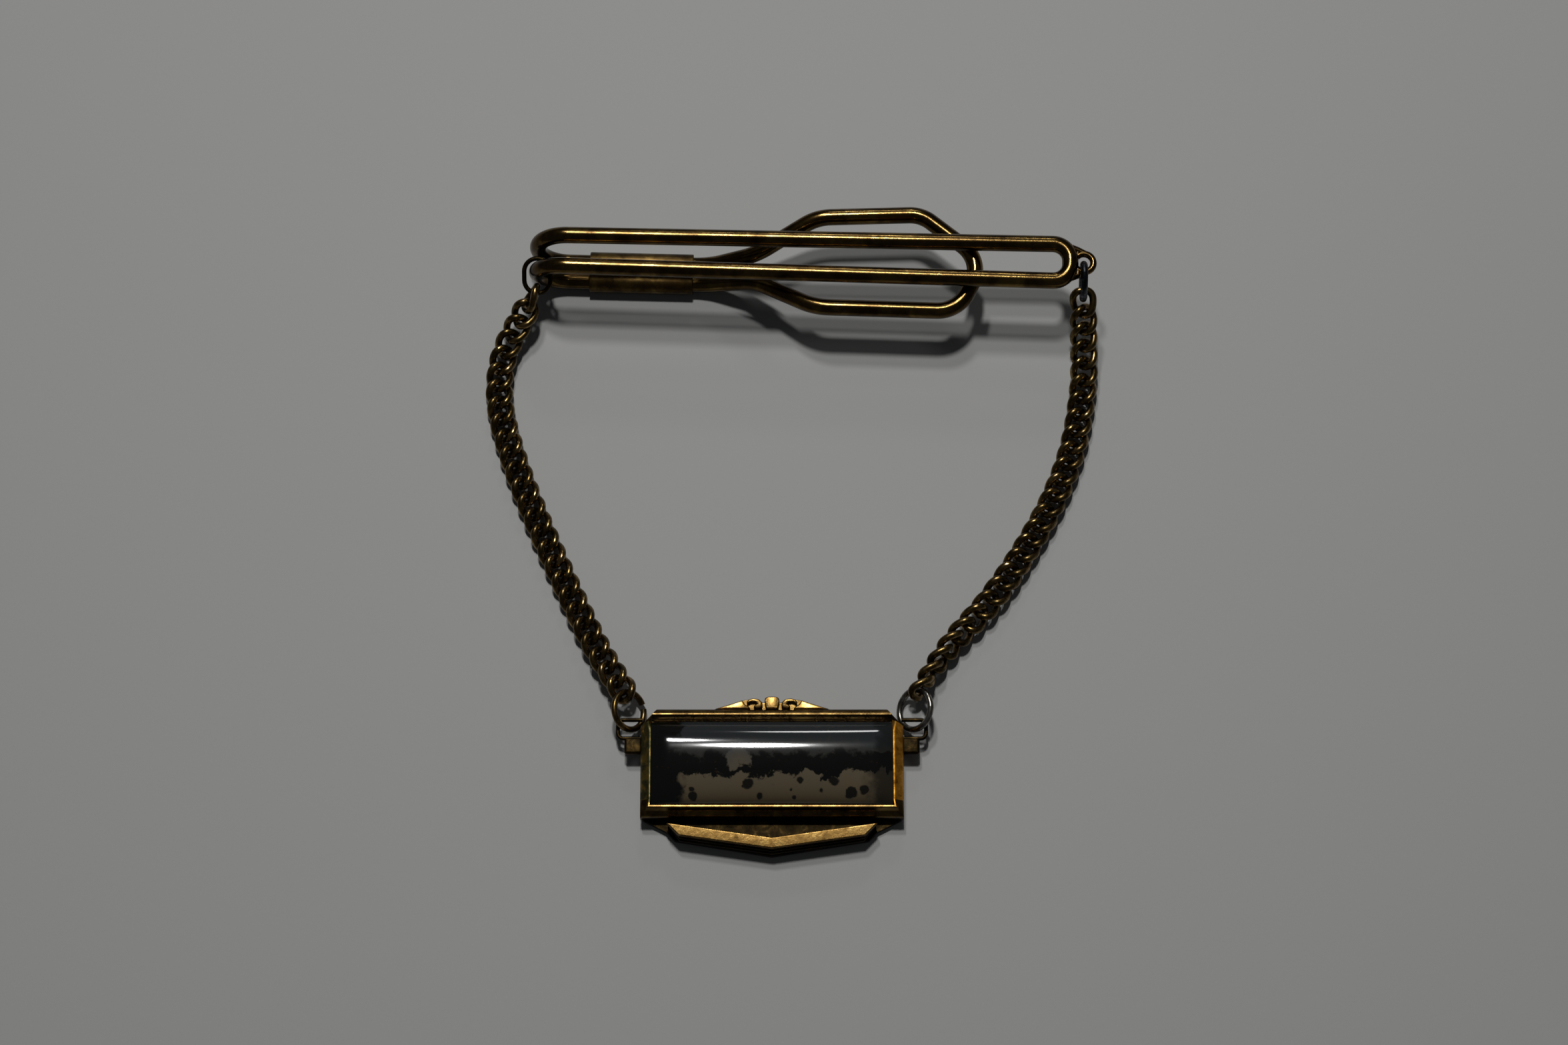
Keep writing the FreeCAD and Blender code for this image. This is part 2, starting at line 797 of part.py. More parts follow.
dome_along.Placement.Rotation = Rotation(Vector(1, 0, 0), 90)
along_radius = dome_radius(stone_x, dim("stone_end_fall"))
bind(dome_along, "Radius", along_radius)
bind(dome_along, "Height", half_height * 2)
bind(dome_along, "Placement.Base.y", half_height)
bind(dome_along, "Placement.Base.z", stone_top - along_radius)
stone = doc.addObject("Part::MultiCommon", "stone_domed")
stone.Shapes = [stone_block, dome_across, dome_along]
keep(stone, "agate_stone")

# The crest: stamped leaves with a scroll at each side and a bead in the middle, each standing higher
crest_half = dim("crest_width") / 2
crest_bottom = dim("crest_level") - dim("crest_depth") / 2


def crest_loop(shares, side=1):
    return [
        (crest_half * (across * side), half_height + dim("crest_height") * up)
        for across, up in shares
    ]


crest_body, _ = plate_body(
    "top_crest",
    [mirrored(crest_loop(CREST_LEAF_SHARES))],
    crest_bottom,
    dim("crest_depth") * CREST_LEAF_DEPTH_SHARE,
)
add_pad(
    crest_body,
    "crest_scrolls",
    [crest_loop(CREST_SCROLL_SHARES), crest_loop(CREST_SCROLL_SHARES, -1)],
    crest_bottom,
    dim("crest_depth") * CREST_SCROLL_DEPTH_SHARE,
)
add_pad(
    crest_body,
    "crest_bead",
    [mirrored(crest_loop(CREST_BEAD_SHARES))],
    crest_bottom,
    dim("crest_depth"),
)

# The trim: a bar bent to a point below the frame, on a wider foot
trim_half = dim("trim_width") / 2
tip_y = frame_bottom - dim("trim_tip_drop")
apex_y = frame_bottom - dim("trim_apex_drop")
slant = (tip_y - apex_y) * (1 - TRIM_FOOT_SHARE)


def trim_points(bar):
    low_y = apex_y - bar
    return [
        (trim_half, tip_y),
        (trim_half * TRIM_FOOT_SHARE, tip_y - slant - bar),
        (nothing, low_y),
        (-trim_half * TRIM_FOOT_SHARE, tip_y - slant - bar),
        (-trim_half, tip_y),
        (nothing, apex_y),
    ]


trim_body, _ = plate_body(
    "bottom_trim", [trim_points(dim("trim_bar"))], dim("plate_thickness"), dim("trim_depth")
)
add_pad(
    trim_body,
    "trim_foot",
    [trim_points(dim("trim_bar") + dim("trim_foot"))],
    dim("plate_thickness"),
    dim("trim_foot_depth"),
)

# The lugs: plates with a slot that a jump ring passes through
lug_top = dim("lug_hole_y") + dim("lug_hole_height") / 2 + dim("lug_top_arm")
lug_low = dim("lug_hole_y") - dim("lug_hole_height") / 2 - dim("lug_foot")
for label, sign in (("left_lug", -1), ("right_lug", 1)):
    root = half_width * sign
    tip = (half_width + dim("lug_reach")) * sign
    foot_tip = (half_width + dim("lug_foot_reach")) * sign
    slot_near = (half_width + dim("lug_root")) * sign
    slot_far = (half_width + dim("lug_root") + hole_length) * sign
    slot_top = dim("lug_hole_y") + dim("lug_hole_height") / 2
    slot_low = dim("lug_hole_y") - dim("lug_hole_height") / 2
    lug_body, lug_pad = plate_body(
        label,
        [
            [
                (root, lug_low),
                (foot_tip, lug_low),
                (foot_tip, slot_low - dim("lug_arm")),
                (tip, slot_low - dim("lug_arm")),
                (tip, lug_top),
                (root, lug_top),
            ],
            [
                (slot_near, slot_low),
                (slot_far, slot_low),
                (slot_far, slot_top),
                (slot_near, slot_top),
            ],
        ],
        dim("lug_level") - dim("lug_thickness") / 2,
        dim("lug_thickness"),
    )

    def at_tip(edge, tip=tip):
        box = edge.BoundBox
        upright = box.ZLength > size("lug_thickness") / 2
        return upright and abs(box.XMin - tip.value) + abs(box.XMax - tip.value) < 1e-6

    round_edges(lug_body, lug_pad, f"{label}_corners", at_tip, dim("lug_corner"))

doc.recompute()

faulty = []
for thing in doc.Objects:
    if "Invalid" in thing.State or "Error" in thing.State:
        faulty.append(f"{thing.Label}: {thing.State}")
for label, thing in sub_parts.items():
    if thing.Shape.isNull() or not thing.Shape.isValid() or not thing.Shape.Solids:
        faulty.append(f"{label}: shape")
if faulty:
    raise RuntimeError("; ".join(faulty))

os.makedirs("parts", exist_ok=True)
for label, thing in sub_parts.items():
    thing.Shape.exportStep(f"parts/{label}.step")
print(len(sub_parts), "sub-parts")
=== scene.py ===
"""Dresses a tie chain: sprung wire slide, curb chains and a stone pendant, on grey paper."""
import math

import bmesh
import bpy
from bpy.props import FloatProperty, FloatVectorProperty, PointerProperty
from bpy.types import Operator, Panel, PropertyGroup
from mathutils import Matrix, Quaternion, Vector


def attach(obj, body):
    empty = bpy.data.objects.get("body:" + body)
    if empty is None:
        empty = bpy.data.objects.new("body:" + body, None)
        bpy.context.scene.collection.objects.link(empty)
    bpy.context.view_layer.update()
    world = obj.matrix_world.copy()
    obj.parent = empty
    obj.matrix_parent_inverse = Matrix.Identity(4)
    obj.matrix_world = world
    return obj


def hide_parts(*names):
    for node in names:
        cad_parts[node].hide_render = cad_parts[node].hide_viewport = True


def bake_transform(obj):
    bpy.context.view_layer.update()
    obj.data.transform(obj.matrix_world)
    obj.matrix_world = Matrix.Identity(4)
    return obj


bl_info = {
    "name": "Tie chain",
    "version": (1, 0, 0),
    "blender": (4, 5, 0),
    "location": "View3D > Sidebar > Tie chain",
    "description": "Makes the looks of a wire tie slide with a chained stone pendant",
    "category": "Object",
}

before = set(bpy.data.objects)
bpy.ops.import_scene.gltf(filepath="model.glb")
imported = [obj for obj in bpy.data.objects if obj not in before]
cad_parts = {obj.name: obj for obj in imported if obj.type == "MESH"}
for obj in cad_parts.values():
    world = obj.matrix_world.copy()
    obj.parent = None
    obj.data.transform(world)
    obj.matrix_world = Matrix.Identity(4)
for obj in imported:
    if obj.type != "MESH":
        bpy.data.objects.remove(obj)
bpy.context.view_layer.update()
MM = 0.001
LINK_NODES = sorted(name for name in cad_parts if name.startswith("chain_links"))


# Sizes and colours that a user may change

def linear(hex_colour):
    """sRGB hex to linear RGB."""
    values = [int(hex_colour[start:start + 2], 16) / 255 for start in (1, 3, 5)]
    return tuple(v / 12.92 if v <= 0.04045 else ((v + 0.055) / 1.055) ** 2.4 for v in values)


def length(name, description, millimetres):
    return FloatProperty(
        name=name,
        description=description,
        default=millimetres * MM,
        unit="LENGTH",
    )


def angle(name, description, degrees):
    return FloatProperty(
        name=name,
        description=description,
        default=math.radians(degrees),
        subtype="ANGLE",
    )


def colour(name, description, hex_colour):
    return FloatVectorProperty(
        name=name,
        description=description,
        default=linear(hex_colour),
        subtype="COLOR",
        min=0.0,
        max=1.0,
    )


class SlideSizes(PropertyGroup):
    wire: length("Wire", "Diameter of the sprung wire", 1.6)
    long: length("Length", "From the bends to the end of the front bars", 53.1)
    left: length("Left end", "Place of the bends across the object", -23.6)
    middle: length("Middle", "From the pendant's middle to the slide's middle line", 49.5)
    lean: angle("Lean", "Turn of the slide in the plane of the table", -1.5)
    front_left: length("Front spacing, left", "Between the front bars at the bends", 3.1)
    front_right: length("Front spacing, right", "Between the front bars at their end", 3.77)
    end_radius: length("End radius", "Corners at the end of the front bars", 1.7)
    rise: length("Rise", "From the back wires up to the front bars", 6.0)
    bend: length("Bend radius", "Radius of the bends between front and back", 2.97)
    back: length("Back spacing", "Between the back wires", 1.9)
    back_height: length("Back height", "Height of the back wires' middle", 1.08)
    sleeve_start: length("Sleeve start", "From the bends to the sleeve", 5.75)
    sleeve_long: length("Sleeve length", "Length of the crimped sleeve", 10.1)
    sleeve_wall: length("Sleeve wall", "Thickness of the sleeve's sheet", 0.3)
    neck_run: length("Neck", "From the sleeve to where the wires part", 1.5)
    waist_run: length("Waist", "From the neck to the waist", 4.65)
    waist: length("Waist spacing", "Between the wires at the waist", 2.8)
    shoulder_run: length("Shoulder", "From the waist to the paddle", 5.8)
    neck_radius: length("Neck radius", "Curves of the neck and waist", 6.0)
    shoulder_radius: length("Shoulder radius", "Curves where the paddle starts", 5.0)
    paddle_long: length("Paddle length", "Length of the paddle's loop", 15.6)
    paddle_half: length("Paddle half width", "Half the width of the paddle's loop", 4.5)
    paddle_corner: length("Paddle corners", "Radius of the paddle's corners", 3.2)
    paddle_height: length("Paddle height", "Height of the paddle's wire", 5.28)
    eye_radius: length("Eye", "Radius of the soldered eye", 0.92)
    eye_wire: length("Eye wire", "Diameter of the eye's wire", 0.66)
    eye_offset: length("Eye offset", "From the end of the front bars to the eye", 0.5)
    clip_wide: length("Clip ring width", "Half the width of the ring round the bend", 1.26)
    clip_long: length("Clip ring length", "Half the length of that ring", 1.65)
    clip_wire: length("Clip ring wire", "Diameter of that ring's wire", 0.45)
    clip_ease: length("Clip ring ease", "Room in that ring over the wire", 0.07)
    clip_lean: angle("Clip ring lean", "Angle of that ring from level", 25.0)


class PendantSizes(PropertyGroup):
    half_wide: length("Half width", "Half the frame's width", 12.35)
    half_high: length("Half height", "Half the frame's height", 5.1)
    side: length("Side border", "Width of the frame at the stone's ends", 1.05)
    rim: length("Rim", "Width of the rims above and below the stone", 1.2)
    corner: length("Corner", "Cut at the frame's upper corners", 1.55)
    lip_gain: length("Lip gain", "How much narrower the lower rim is than the upper one", 0.16)
    plate: length("Plate", "Thickness of the back plate", 0.7)
    girdle: length("Girdle", "Height of the stone's edge", 2.7)
    crown: length("Crown", "Rise of the stone's dome", 1.5)
    crest_level: length("Crest level", "Height of the crest's middle", 1.9)
    trim_half: length("Trim half width", "Half the width of the pointed trim", 9.9)
    trim_tip: length("Trim tips", "From the frame down to the trim's tips", 0.55)
    trim_apex: length("Trim point", "From the frame down to the trim's point", 1.95)
    trim_bar: length("Trim bar", "Width of the trim's bright bar", 1.05)
    lug_reach: length("Lug reach", "How far the lugs stand out", 2.36)
    lug_level: length("Lug level", "Height of the lugs' middle", 1.65)
    lug_top: length("Lug top", "Upper edge of the lugs", 4.5)
    lug_slot: length("Lug slot", "Lower edge of the lugs' slot", 2.72)
    lug_low: length("Lug foot", "Lower edge of the lugs", 1.02)


class FinishColours(PropertyGroup):
    gilt_dark: colour("Gilt, tarnished", "Slide wire where the gold has dulled", "#261c0e")
    gilt_mid: colour("Gilt", "Slide wire", "#4c3b20")
    gilt_light: colour("Gilt, rubbed", "Slide wire where hands polish it", "#7b6437")
    gold_dark: colour("Gold, in hollows", "Frame's gold in its hollows", "#35260f")
    gold_mid: colour("Gold", "Gold of the crest and the trim", "#68502a")
    gold_light: colour("Gold, rubbed", "Gold where it is rubbed bright", "#9b7e48")
    bronze_dark: colour("Chain, dark", "Chain brass in its hollows", "#211a0f")
    bronze_mid: colour("Chain", "Chain brass", "#594829")
    bronze_light: colour("Chain, rubbed", "Chain brass where it rubs", "#a08459")
    # The plate colours are old tarnish darkened with painted shade, for the plate's recess between
    # the frame and the trim
    plate_dark: colour("Plate, dark", "Back plate under old tarnish", "#0d0a06")
    plate_mid: colour("Plate", "Back plate", "#1e170b")
    plate_light: colour("Plate, rubbed", "Back plate where the brass shows", "#42331a")
    verdigris_dark: colour("Verdigris, dark", "Left border under green tarnish", "#23231a")
    verdigris_mid: colour("Verdigris", "Left border", "#55502f")
    verdigris_light: colour("Verdigris, rubbed", "Left border where gold shows", "#a8843c")
    copper_dark: colour("Border, dark", "Right border in its scratches", "#6b4210")
    copper_mid: colour("Border", "Right border, worn to the base metal", "#b8812c")
    copper_light: colour("Border, bright", "Right border where it shines", "#e0ac58")
    steel_dark: colour("Steel, dark", "Steel ring in its shade", "#2b2925")
    steel_mid: colour("Steel", "Steel ring", "#6d6962")
    steel_light: colour("Steel, bright", "Steel ring where it is rubbed", "#aaa59b")
    iron_dark: colour("Connector, dark", "Blackened steel of the connector", "#0f1011")
    iron_mid: colour("Connector", "Steel of the connector", "#2a2d30")
    iron_light: colour("Connector, rubbed", "Connector where it is rubbed", "#6a6f74")
    agate_low: colour("Agate, low", "Cloudy stone near its lower edge", "#4f4432")
    agate_mid: colour("Agate, middle", "Cloudy stone in its middle", "#484238")
    # Near the upper edge the stone's colour is a painted reflection of the sky, bluish grey
    agate_high_sky_sheen: colour("Agate, high", "Cloudy stone near its upper edge", "#33373a")
    moss: colour("Moss", "Black-green moss in the stone", "#050604")
    rust: colour("Rust", "Rust specks in the moss", "#2a150c")
    paper: colour("Paper", "Paper that the part lies on", "#929291")


class StageSettings(PropertyGroup):
    distance: length("Camera distance", "From the camera to the middle of the picture", 340.0)
    tilt: angle("Camera elevation", "Angle of the camera above the table", 74.0)
    key_tilt: angle("Main lamp elevation", "Angle of the main lamp above the table", 67.0)
    left_tilt: angle("Left lamp elevation", "Angle of the left lamp above the table", 57.0)
    low_tilt: angle("Low lamp elevation", "Angle of the low lamp above the table", 30.0)
    lamp_distance: length("Lamp distance", "From the lamps to the part", 600.0)
    lamp_spread: angle("Lamp spread", "Angle of the light that the lamps give", 110.0)


# Materials

def add(tree, kind, values=None, links=None, stops=(), **settings):
    """Adds a node with its settings, its input values, its links and any colour stops."""
    made = tree.nodes.new(kind)
    for key, value in settings.items():
        setattr(made, key, value)
    for key, value in (values or {}).items():
        made.inputs[key].default_value = value
    for key, socket in (links or {}).items():
        tree.links.new(socket, made.inputs[key])
    for number, (position, shade) in enumerate(stops):
        elements = made.color_ramp.elements
        element = elements[number] if number < 2 else elements.new(position)
        element.position = position
        element.color = (*shade, 1.0)
    return made


def new_material(name):
    """A material with a Principled surface, and its tree, shader and object coordinates."""
    material = bpy.data.materials.new(name)
    material.use_nodes = True
    tree = material.node_tree
    tree.nodes.clear()
    shader = add(tree, "ShaderNodeBsdfPrincipled")
    add(tree, "ShaderNodeOutputMaterial", links={"Surface": shader.outputs["BSDF"]})
    place = add(tree, "ShaderNodeTexCoord").outputs["Object"]
    return material, tree, shader, place


# Pits and handling marks are finer than this; they are drawn 0.3 mm apart so that they show
PIT_SPACING = 0.3 * MM
PIT_DEPTH = 0.05 * MM
# How much roughness the pits add
PIT_DULLNESS = 0.12


def worn_metal(name, family, patch_mm, polish, pits):
    """Plated or bare metal: dull in patches, rubbed bright elsewhere, with fine pits."""
    shades = bpy.context.scene.tiechain_colours
    dark, middle, light = [
        getattr(shades, f"{family}_{tone}")[:] for tone in ("dark", "mid", "light")
    ]
    rubbed_rough, dull_rough = polish
    material, tree, shader, place = new_material(name)
    # Tarnish gathers in patches of a millimetre or two
    patches = add(
        tree,
        "ShaderNodeTexNoise",
        {"Scale": 1 / (patch_mm * MM), "Detail": 6.0, "Roughness": 0.65, "Distortion": 0.5},
        {"Vector": place},
    )
    tones = add(
        tree,
        "ShaderNodeValToRGB",
        links={"Fac": patches.outputs["Fac"]},
        stops=[(0.3, dark), (0.5, middle), (0.72, light)],
    )
    pitted = add(
        tree,
        "ShaderNodeTexNoise",
        {"Scale": 1 / PIT_SPACING, "Detail": 5.0, "Roughness": 0.7},
        {"Vector": place},
    )
    # Tarnished patches are duller than rubbed ones
    gloss = add(
        tree,
        "ShaderNodeMapRange",
        {"From Min": 0.3, "From Max": 0.7, "To Min": dull_rough, "To Max": rubbed_rough},
        {"Value": patches.outputs["Fac"]},
    )
    rough = add(
        tree,
        "ShaderNodeMath",
        {1: PIT_DULLNESS},
        {0: pitted.outputs["Fac"], 2: gloss.outputs["Result"]},
        operation="MULTIPLY_ADD",
    )
    bump = add(
        tree,
        "ShaderNodeBump",
        {"Strength": pits, "Distance": PIT_DEPTH},
        {"Height": pitted.outputs["Fac"]},
    )
    shader.inputs["Metallic"].default_value = 1.0
    tree.links.new(tones.outputs["Color"], shader.inputs["Base Color"])
    tree.links.new(rough.outputs["Value"], shader.inputs["Roughness"])
    tree.links.new(bump.outputs["Normal"], shader.inputs["Normal"])
    return material


# The stone's pattern, in millimetres from its middle: the width of the moss's fronds and how far
# they sway what lies round them, the span of the cloud with its painted sky reflection at the top,
# the edges of the moss band, and the clear window in it
FROND_WIDTH = 1.5
FROND_SWAY = Vector((3.0, 4.2, 0))
CLOUD_AND_SHEEN_START, CLOUD_AND_SHEEN_END = -4.0, 3.0
BAND_FOOT, BAND_FULL = -1.5, -1.25
BAND_FADE, BAND_THIN = 0.4, 1.1
WINDOW_MIDDLE = Vector((-3.1, 0.45, 0))
WINDOW_CLEAR, WINDOW_SHUT = 1.0, 1.35
# Where the moss over each end starts and is full, and how dense it is there
GROWN_ENDS = [(-8.0, -8.8, 1.0), (8.3, 10.2, 0.8)]
# Size of the rust specks, how far fronds fray the islands, the start and the end of the islands'
# soft edge past their radius, and how dense they are
SPECK_SIZE = 0.45
ISLAND_FRAY = 0.9
ISLAND_CORE, ISLAND_EDGE = 0.36, 0.52
ISLAND_DENSITY = 0.95
# Lone islands of moss in the pale part of the stone: place and radius in millimetres
MOSS_ISLANDS = [
    (-7.4, -3.35, 0.36), (-7.5, -2.75, 0.22), (-2.2, -2.3, 0.5), (-1.2, -3.4, 0.25),
    (2.1, -3.5, 0.26), (2.6, -1.95, 0.32), (5.8, -2.1, 0.46), (7.4, -3.1, 0.56), (8.6, -2.8, 0.5),
    (4.6, -2.9, 0.17), (-2.7, -2.5, 0.1), (1.8, -2.85, 0.12),
]


def moss_agate(name):
    """Moss agate, cut domed and polished: cloudy beige and grey behind black-green moss, and a
    painted sky reflection at the top.
    """
    shades = bpy.context.scene.tiechain_colours
    material, tree, shader, place = new_material(name)
    flat = add(
        tree,
        "ShaderNodeVectorMath",
        {1: (1, 1, 0)},
        {0: place},
        operation="MULTIPLY",
    ).outputs["Vector"]
    # The moss grows in fronds, which bend the edges of all the rest
    fronds = add(
        tree,
        "ShaderNodeTexNoise",
        {"Scale": 1 / (FROND_WIDTH * MM), "Detail": 7.0, "Roughness": 0.6, "Distortion": 0.3},
        {"Vector": flat},
    )
    drift = add(
        tree,
        "ShaderNodeVectorMath",
        {1: (-0.5, -0.5, -0.5)},
        {0: fronds.outputs["Color"]},
        operation="ADD",
    )
    swayed = add(
        tree,
        "ShaderNodeVectorMath",
        {1: FROND_SWAY * MM},
        {0: drift.outputs["Vector"], 2: flat},
        operation="MULTIPLY_ADD",
    ).outputs["Vector"]
    axes = add(tree, "ShaderNodeSeparateXYZ", links={"Vector": swayed})
    # Cloud from the lower edge of the stone to the upper one, turning into a painted reflection of
    # the sky, bluish grey, at the upper edge
    layer = add(
        tree,
        "ShaderNodeMapRange",
        {"From Min": CLOUD_AND_SHEEN_START * MM, "From Max": CLOUD_AND_SHEEN_END * MM},
        {"Value": axes.outputs["Y"]},
    )
    cloud_and_sky_sheen = add(
        tree,
        "ShaderNodeValToRGB",
        links={"Fac": layer.outputs["Result"]},
        stops=[(0.05, shades.agate_low), (0.55, shades.agate_mid), (0.85, shades.agate_high_sky_sheen)],
    )
    # The band of moss across the middle, which thins towards the upper edge
    low = add(
        tree,
        "ShaderNodeMapRange",
        {"From Min": BAND_FOOT * MM, "From Max": BAND_FULL * MM},
        {"Value": axes.outputs["Y"]},
        interpolation_type="SMOOTHSTEP",
    )
    high = add(
        tree,
        "ShaderNodeMapRange",
        {"From Min": BAND_FADE * MM, "From Max": BAND_THIN * MM, "To Min": 1.0, "To Max": 0.6},
        {"Value": axes.outputs["Y"]},
        interpolation_type="SMOOTHSTEP",
    )
    band = add(
        tree,
        "ShaderNodeMath",
        links={0: low.outputs["Result"], 1: high.outputs["Result"]},
        operation="MULTIPLY",
    )
    # A clear window in the band, left of the middle
    window = add(
        tree,
        "ShaderNodeVectorMath",
        {1: WINDOW_MIDDLE * MM},
        {0: swayed},
        operation="DISTANCE",
    )
    shut = add(
        tree,
        "ShaderNodeMapRange",
        {"From Min": WINDOW_CLEAR * MM, "From Max": WINDOW_SHUT * MM, "To Min": 0.1, "To Max": 1.0},
        {"Value": window.outputs["Value"]},
        interpolation_type="SMOOTHSTEP",
    )
    moss = add(
        tree,
        "ShaderNodeMath",
        links={0: band.outputs["Value"], 1: shut.outputs["Result"]},
        operation="MULTIPLY",
    ).outputs["Value"]
    # Both ends are grown over, the right one less
    for start, end, density in GROWN_ENDS:
        grown = add(
            tree,
            "ShaderNodeMapRange",
            {"From Min": start * MM, "From Max": end * MM, "To Max": density},
            {"Value": axes.outputs["X"]},
            interpolation_type="SMOOTHSTEP",
        )
        moss = add(
            tree,
            "ShaderNodeMath",
            links={0: moss, 1: grown.outputs["Result"]},
            operation="MAXIMUM",
        ).outputs["Value"]
    for x, y, radius in MOSS_ISLANDS:
        away = add(
            tree,
            "ShaderNodeVectorMath",
            {1: (x * MM, y * MM, 0)},
            {0: flat},
            operation="DISTANCE",
        )
        ragged = add(
            tree,
            "ShaderNodeMath",
            {1: ISLAND_FRAY * MM},
            {0: fronds.outputs["Fac"], 2: away.outputs["Value"]},
            operation="MULTIPLY_ADD",
        )
        island = add(
            tree,
            "ShaderNodeMapRange",
            {
                "From Min": (ISLAND_CORE + radius) * MM,
                "From Max": (ISLAND_EDGE + radius) * MM,
                "To Min": ISLAND_DENSITY,
                "To Max": 0.0,
            },
            {"Value": ragged.outputs["Value"]},
            interpolation_type="SMOOTHSTEP",
        )
        moss = add(
            tree,
            "ShaderNodeMath",
            links={0: moss, 1: island.outputs["Result"]},
            operation="MAXIMUM",
        ).outputs["Value"]
    specks = add(
        tree,
        "ShaderNodeTexNoise",
        {"Scale": 1 / (SPECK_SIZE * MM), "Detail": 3.0},
        {"Vector": flat},
    )
    growth = add(
        tree,
        "ShaderNodeValToRGB",
        links={"Fac": specks.outputs["Fac"]},
        stops=[(0.66, shades.moss), (0.8, shades.rust)],
    )
    # A colour mix keeps its factor, its two colours and its result at these places
    shade = add(
        tree,
        "ShaderNodeMix",
        links={0: moss, 6: cloud_and_sky_sheen.outputs["Color"], 7: growth.outputs["Color"]},
        data_type="RGBA",
    )
    tree.links.new(shade.outputs[2], shader.inputs["Base Color"])
    shader.inputs["Roughness"].default_value = 0.07
    shader.inputs["IOR"].default_value = 1.54
    return material


# The paper's tooth is finer than this; it is drawn 0.9 mm apart so that it shows
TOOTH_SPACING = 0.9 * MM
TOOTH_DEPTH = 0.05 * MM


def matt_paper(name):
    """Uncoated paper: no shine, a faint tooth."""
    material, tree, shader, place = new_material(name)
    tooth = add(
        tree,
        "ShaderNodeTexNoise",
        {"Scale": 1 / TOOTH_SPACING, "Detail": 4.0},
        {"Vector": place},
    )
    bump = add(
        tree,
        "ShaderNodeBump",
        {"Strength": 0.12, "Distance": TOOTH_DEPTH},
        {"Height": tooth.outputs["Fac"]},
    )
    shader.inputs["Base Color"].default_value = (*bpy.context.scene.tiechain_colours.paper, 1.0)
    shader.inputs["Roughness"].default_value = 0.95
    shader.inputs["Specular IOR Level"].default_value = 0.1
    tree.links.new(bump.outputs["Normal"], shader.inputs["Normal"])
    return material


# Each finish: how it is made, its colours, the size of its patches in millimetres, its roughness
# where it is rubbed and where it is dull, and how deep its pits look
FINISHES = {
    # Drawn brass wire with worn gilding: sharp highlights along a dull olive body
    "worn_gilt_wire": (worn_metal, "gilt", 2.6, (0.06, 0.17), 0.16),
    # The same brass as crimped sheet: duller, with no sharp highlight
    "crimped_gilt": (worn_metal, "gilt", 1.8, (0.26, 0.4), 0.2),
    # Stamped brass with better gilding: warm and bright, grainy
    "stamped_gilt": (worn_metal, "gold", 1.1, (0.14, 0.3), 0.22),
    # Rolled rim, gilded: bright crest, brown flanks
    "rolled_gilt": (worn_metal, "gilt", 1.6, (0.16, 0.24), 0.12),
    # Curb chain in brass left to darken: brown, yellow where it rubs
    "dark_brass_chain": (worn_metal, "bronze", 1.1, (0.12, 0.3), 0.15),
    # Sheet brass under old tarnish, darkened with painted shade for the plate's recess between
    # frame and trim: nearly black
    "tarnished_brass": (worn_metal, "plate", 1.3, (0.3, 0.48), 0.25),
    # Border with green corrosion over gilding
    "verdigris_gilt": (worn_metal, "verdigris", 0.8, (0.25, 0.45), 0.35),
    # Border worn through to copper-coloured metal
    "worn_border": (worn_metal, "copper", 0.8, (0.4, 0.5), 0.4),
    # Steel wire, worn grey
    "steel_wire": (worn_metal, "steel", 0.9, (0.12, 0.26), 0.12),
    # Blackened steel wire
    "black_steel": (worn_metal, "iron", 0.8, (0.16, 0.34), 0.2),
    "moss_agate": (moss_agate,),
    "matt_paper": (matt_paper,),
}


def finish_named(name):
    """The material of that name, made on first use."""
    made = bpy.data.materials.get(name)
    if made is None:
        make, *settings = FINISHES[name]
        made = make(name, *settings)
    return made


# Meshes

# Between two points on a bend, along the wire
BEND_STEP = 0.2 * MM
FINE_BEND_STEP = 0.08 * MM
# Slack where a point is compared with a place, and the distance at which two points become one
SLACK = 0.01 * MM
WELD = 0.0005 * MM
THICK_WIRE_SIDES = 28
THIN_WIRE_SIDES = 16


def bent_route(corners, radii, step=BEND_STEP):
    """Points along straight runs joined by arcs, one radius for each inner corner."""
    points = [corners[0]]
    for before, corner, after, radius in zip(corners, corners[1:], corners[2:], radii):
        into = (corner - before).normalized()
        out = (after - corner).normalized()
        turn = into.angle(out)
        axis = into.cross(out).normalized()
        start = corner - into * (radius * math.tan(turn / 2))
        centre = start + axis.cross(into) * radius
        count = max(4, math.ceil(radius * turn / step))
        for number in range(count + 1):
            points.append(centre + Quaternion(axis, turn * number / count) @ (start - centre))
    points.append(corners[-1])
    return points


def ring_route(centre, radius, turn, start, end, count):
    """Points on a ring in the plane that the rotation gives, between two angles in degrees."""
    points = []
    for number in range(count):
        at = math.radians(start + (end - start) * number / (count - 1))
        points.append(centre + turn @ Vector((radius * math.cos(at), radius * math.sin(at), 0)))
    return points


def directions(route, closed):
    """The direction of a route at each of its points."""
    found = []
    last = len(route) - 1
    for number, point in enumerate(route):
        before = route[number - 1] if number or closed else point
        after = route[(number + 1) % len(route)] if number < last or closed else point
        found.append((after - before).normalized())
    return found


def grow_ring(bm, ring):
    """Extrudes a ring of edges in place; gives the new verts and the new ring."""
    grown = bmesh.ops.extrude_edge_only(bm, edges=ring)["geom"]
    verts = [item for item in grown if isinstance(item, bmesh.types.BMVert)]
    fresh = set(verts)
    edges = [item for item in grown if isinstance(item, bmesh.types.BMEdge)]
    return verts, [edge for edge in edges if fresh.issuperset(edge.verts)]


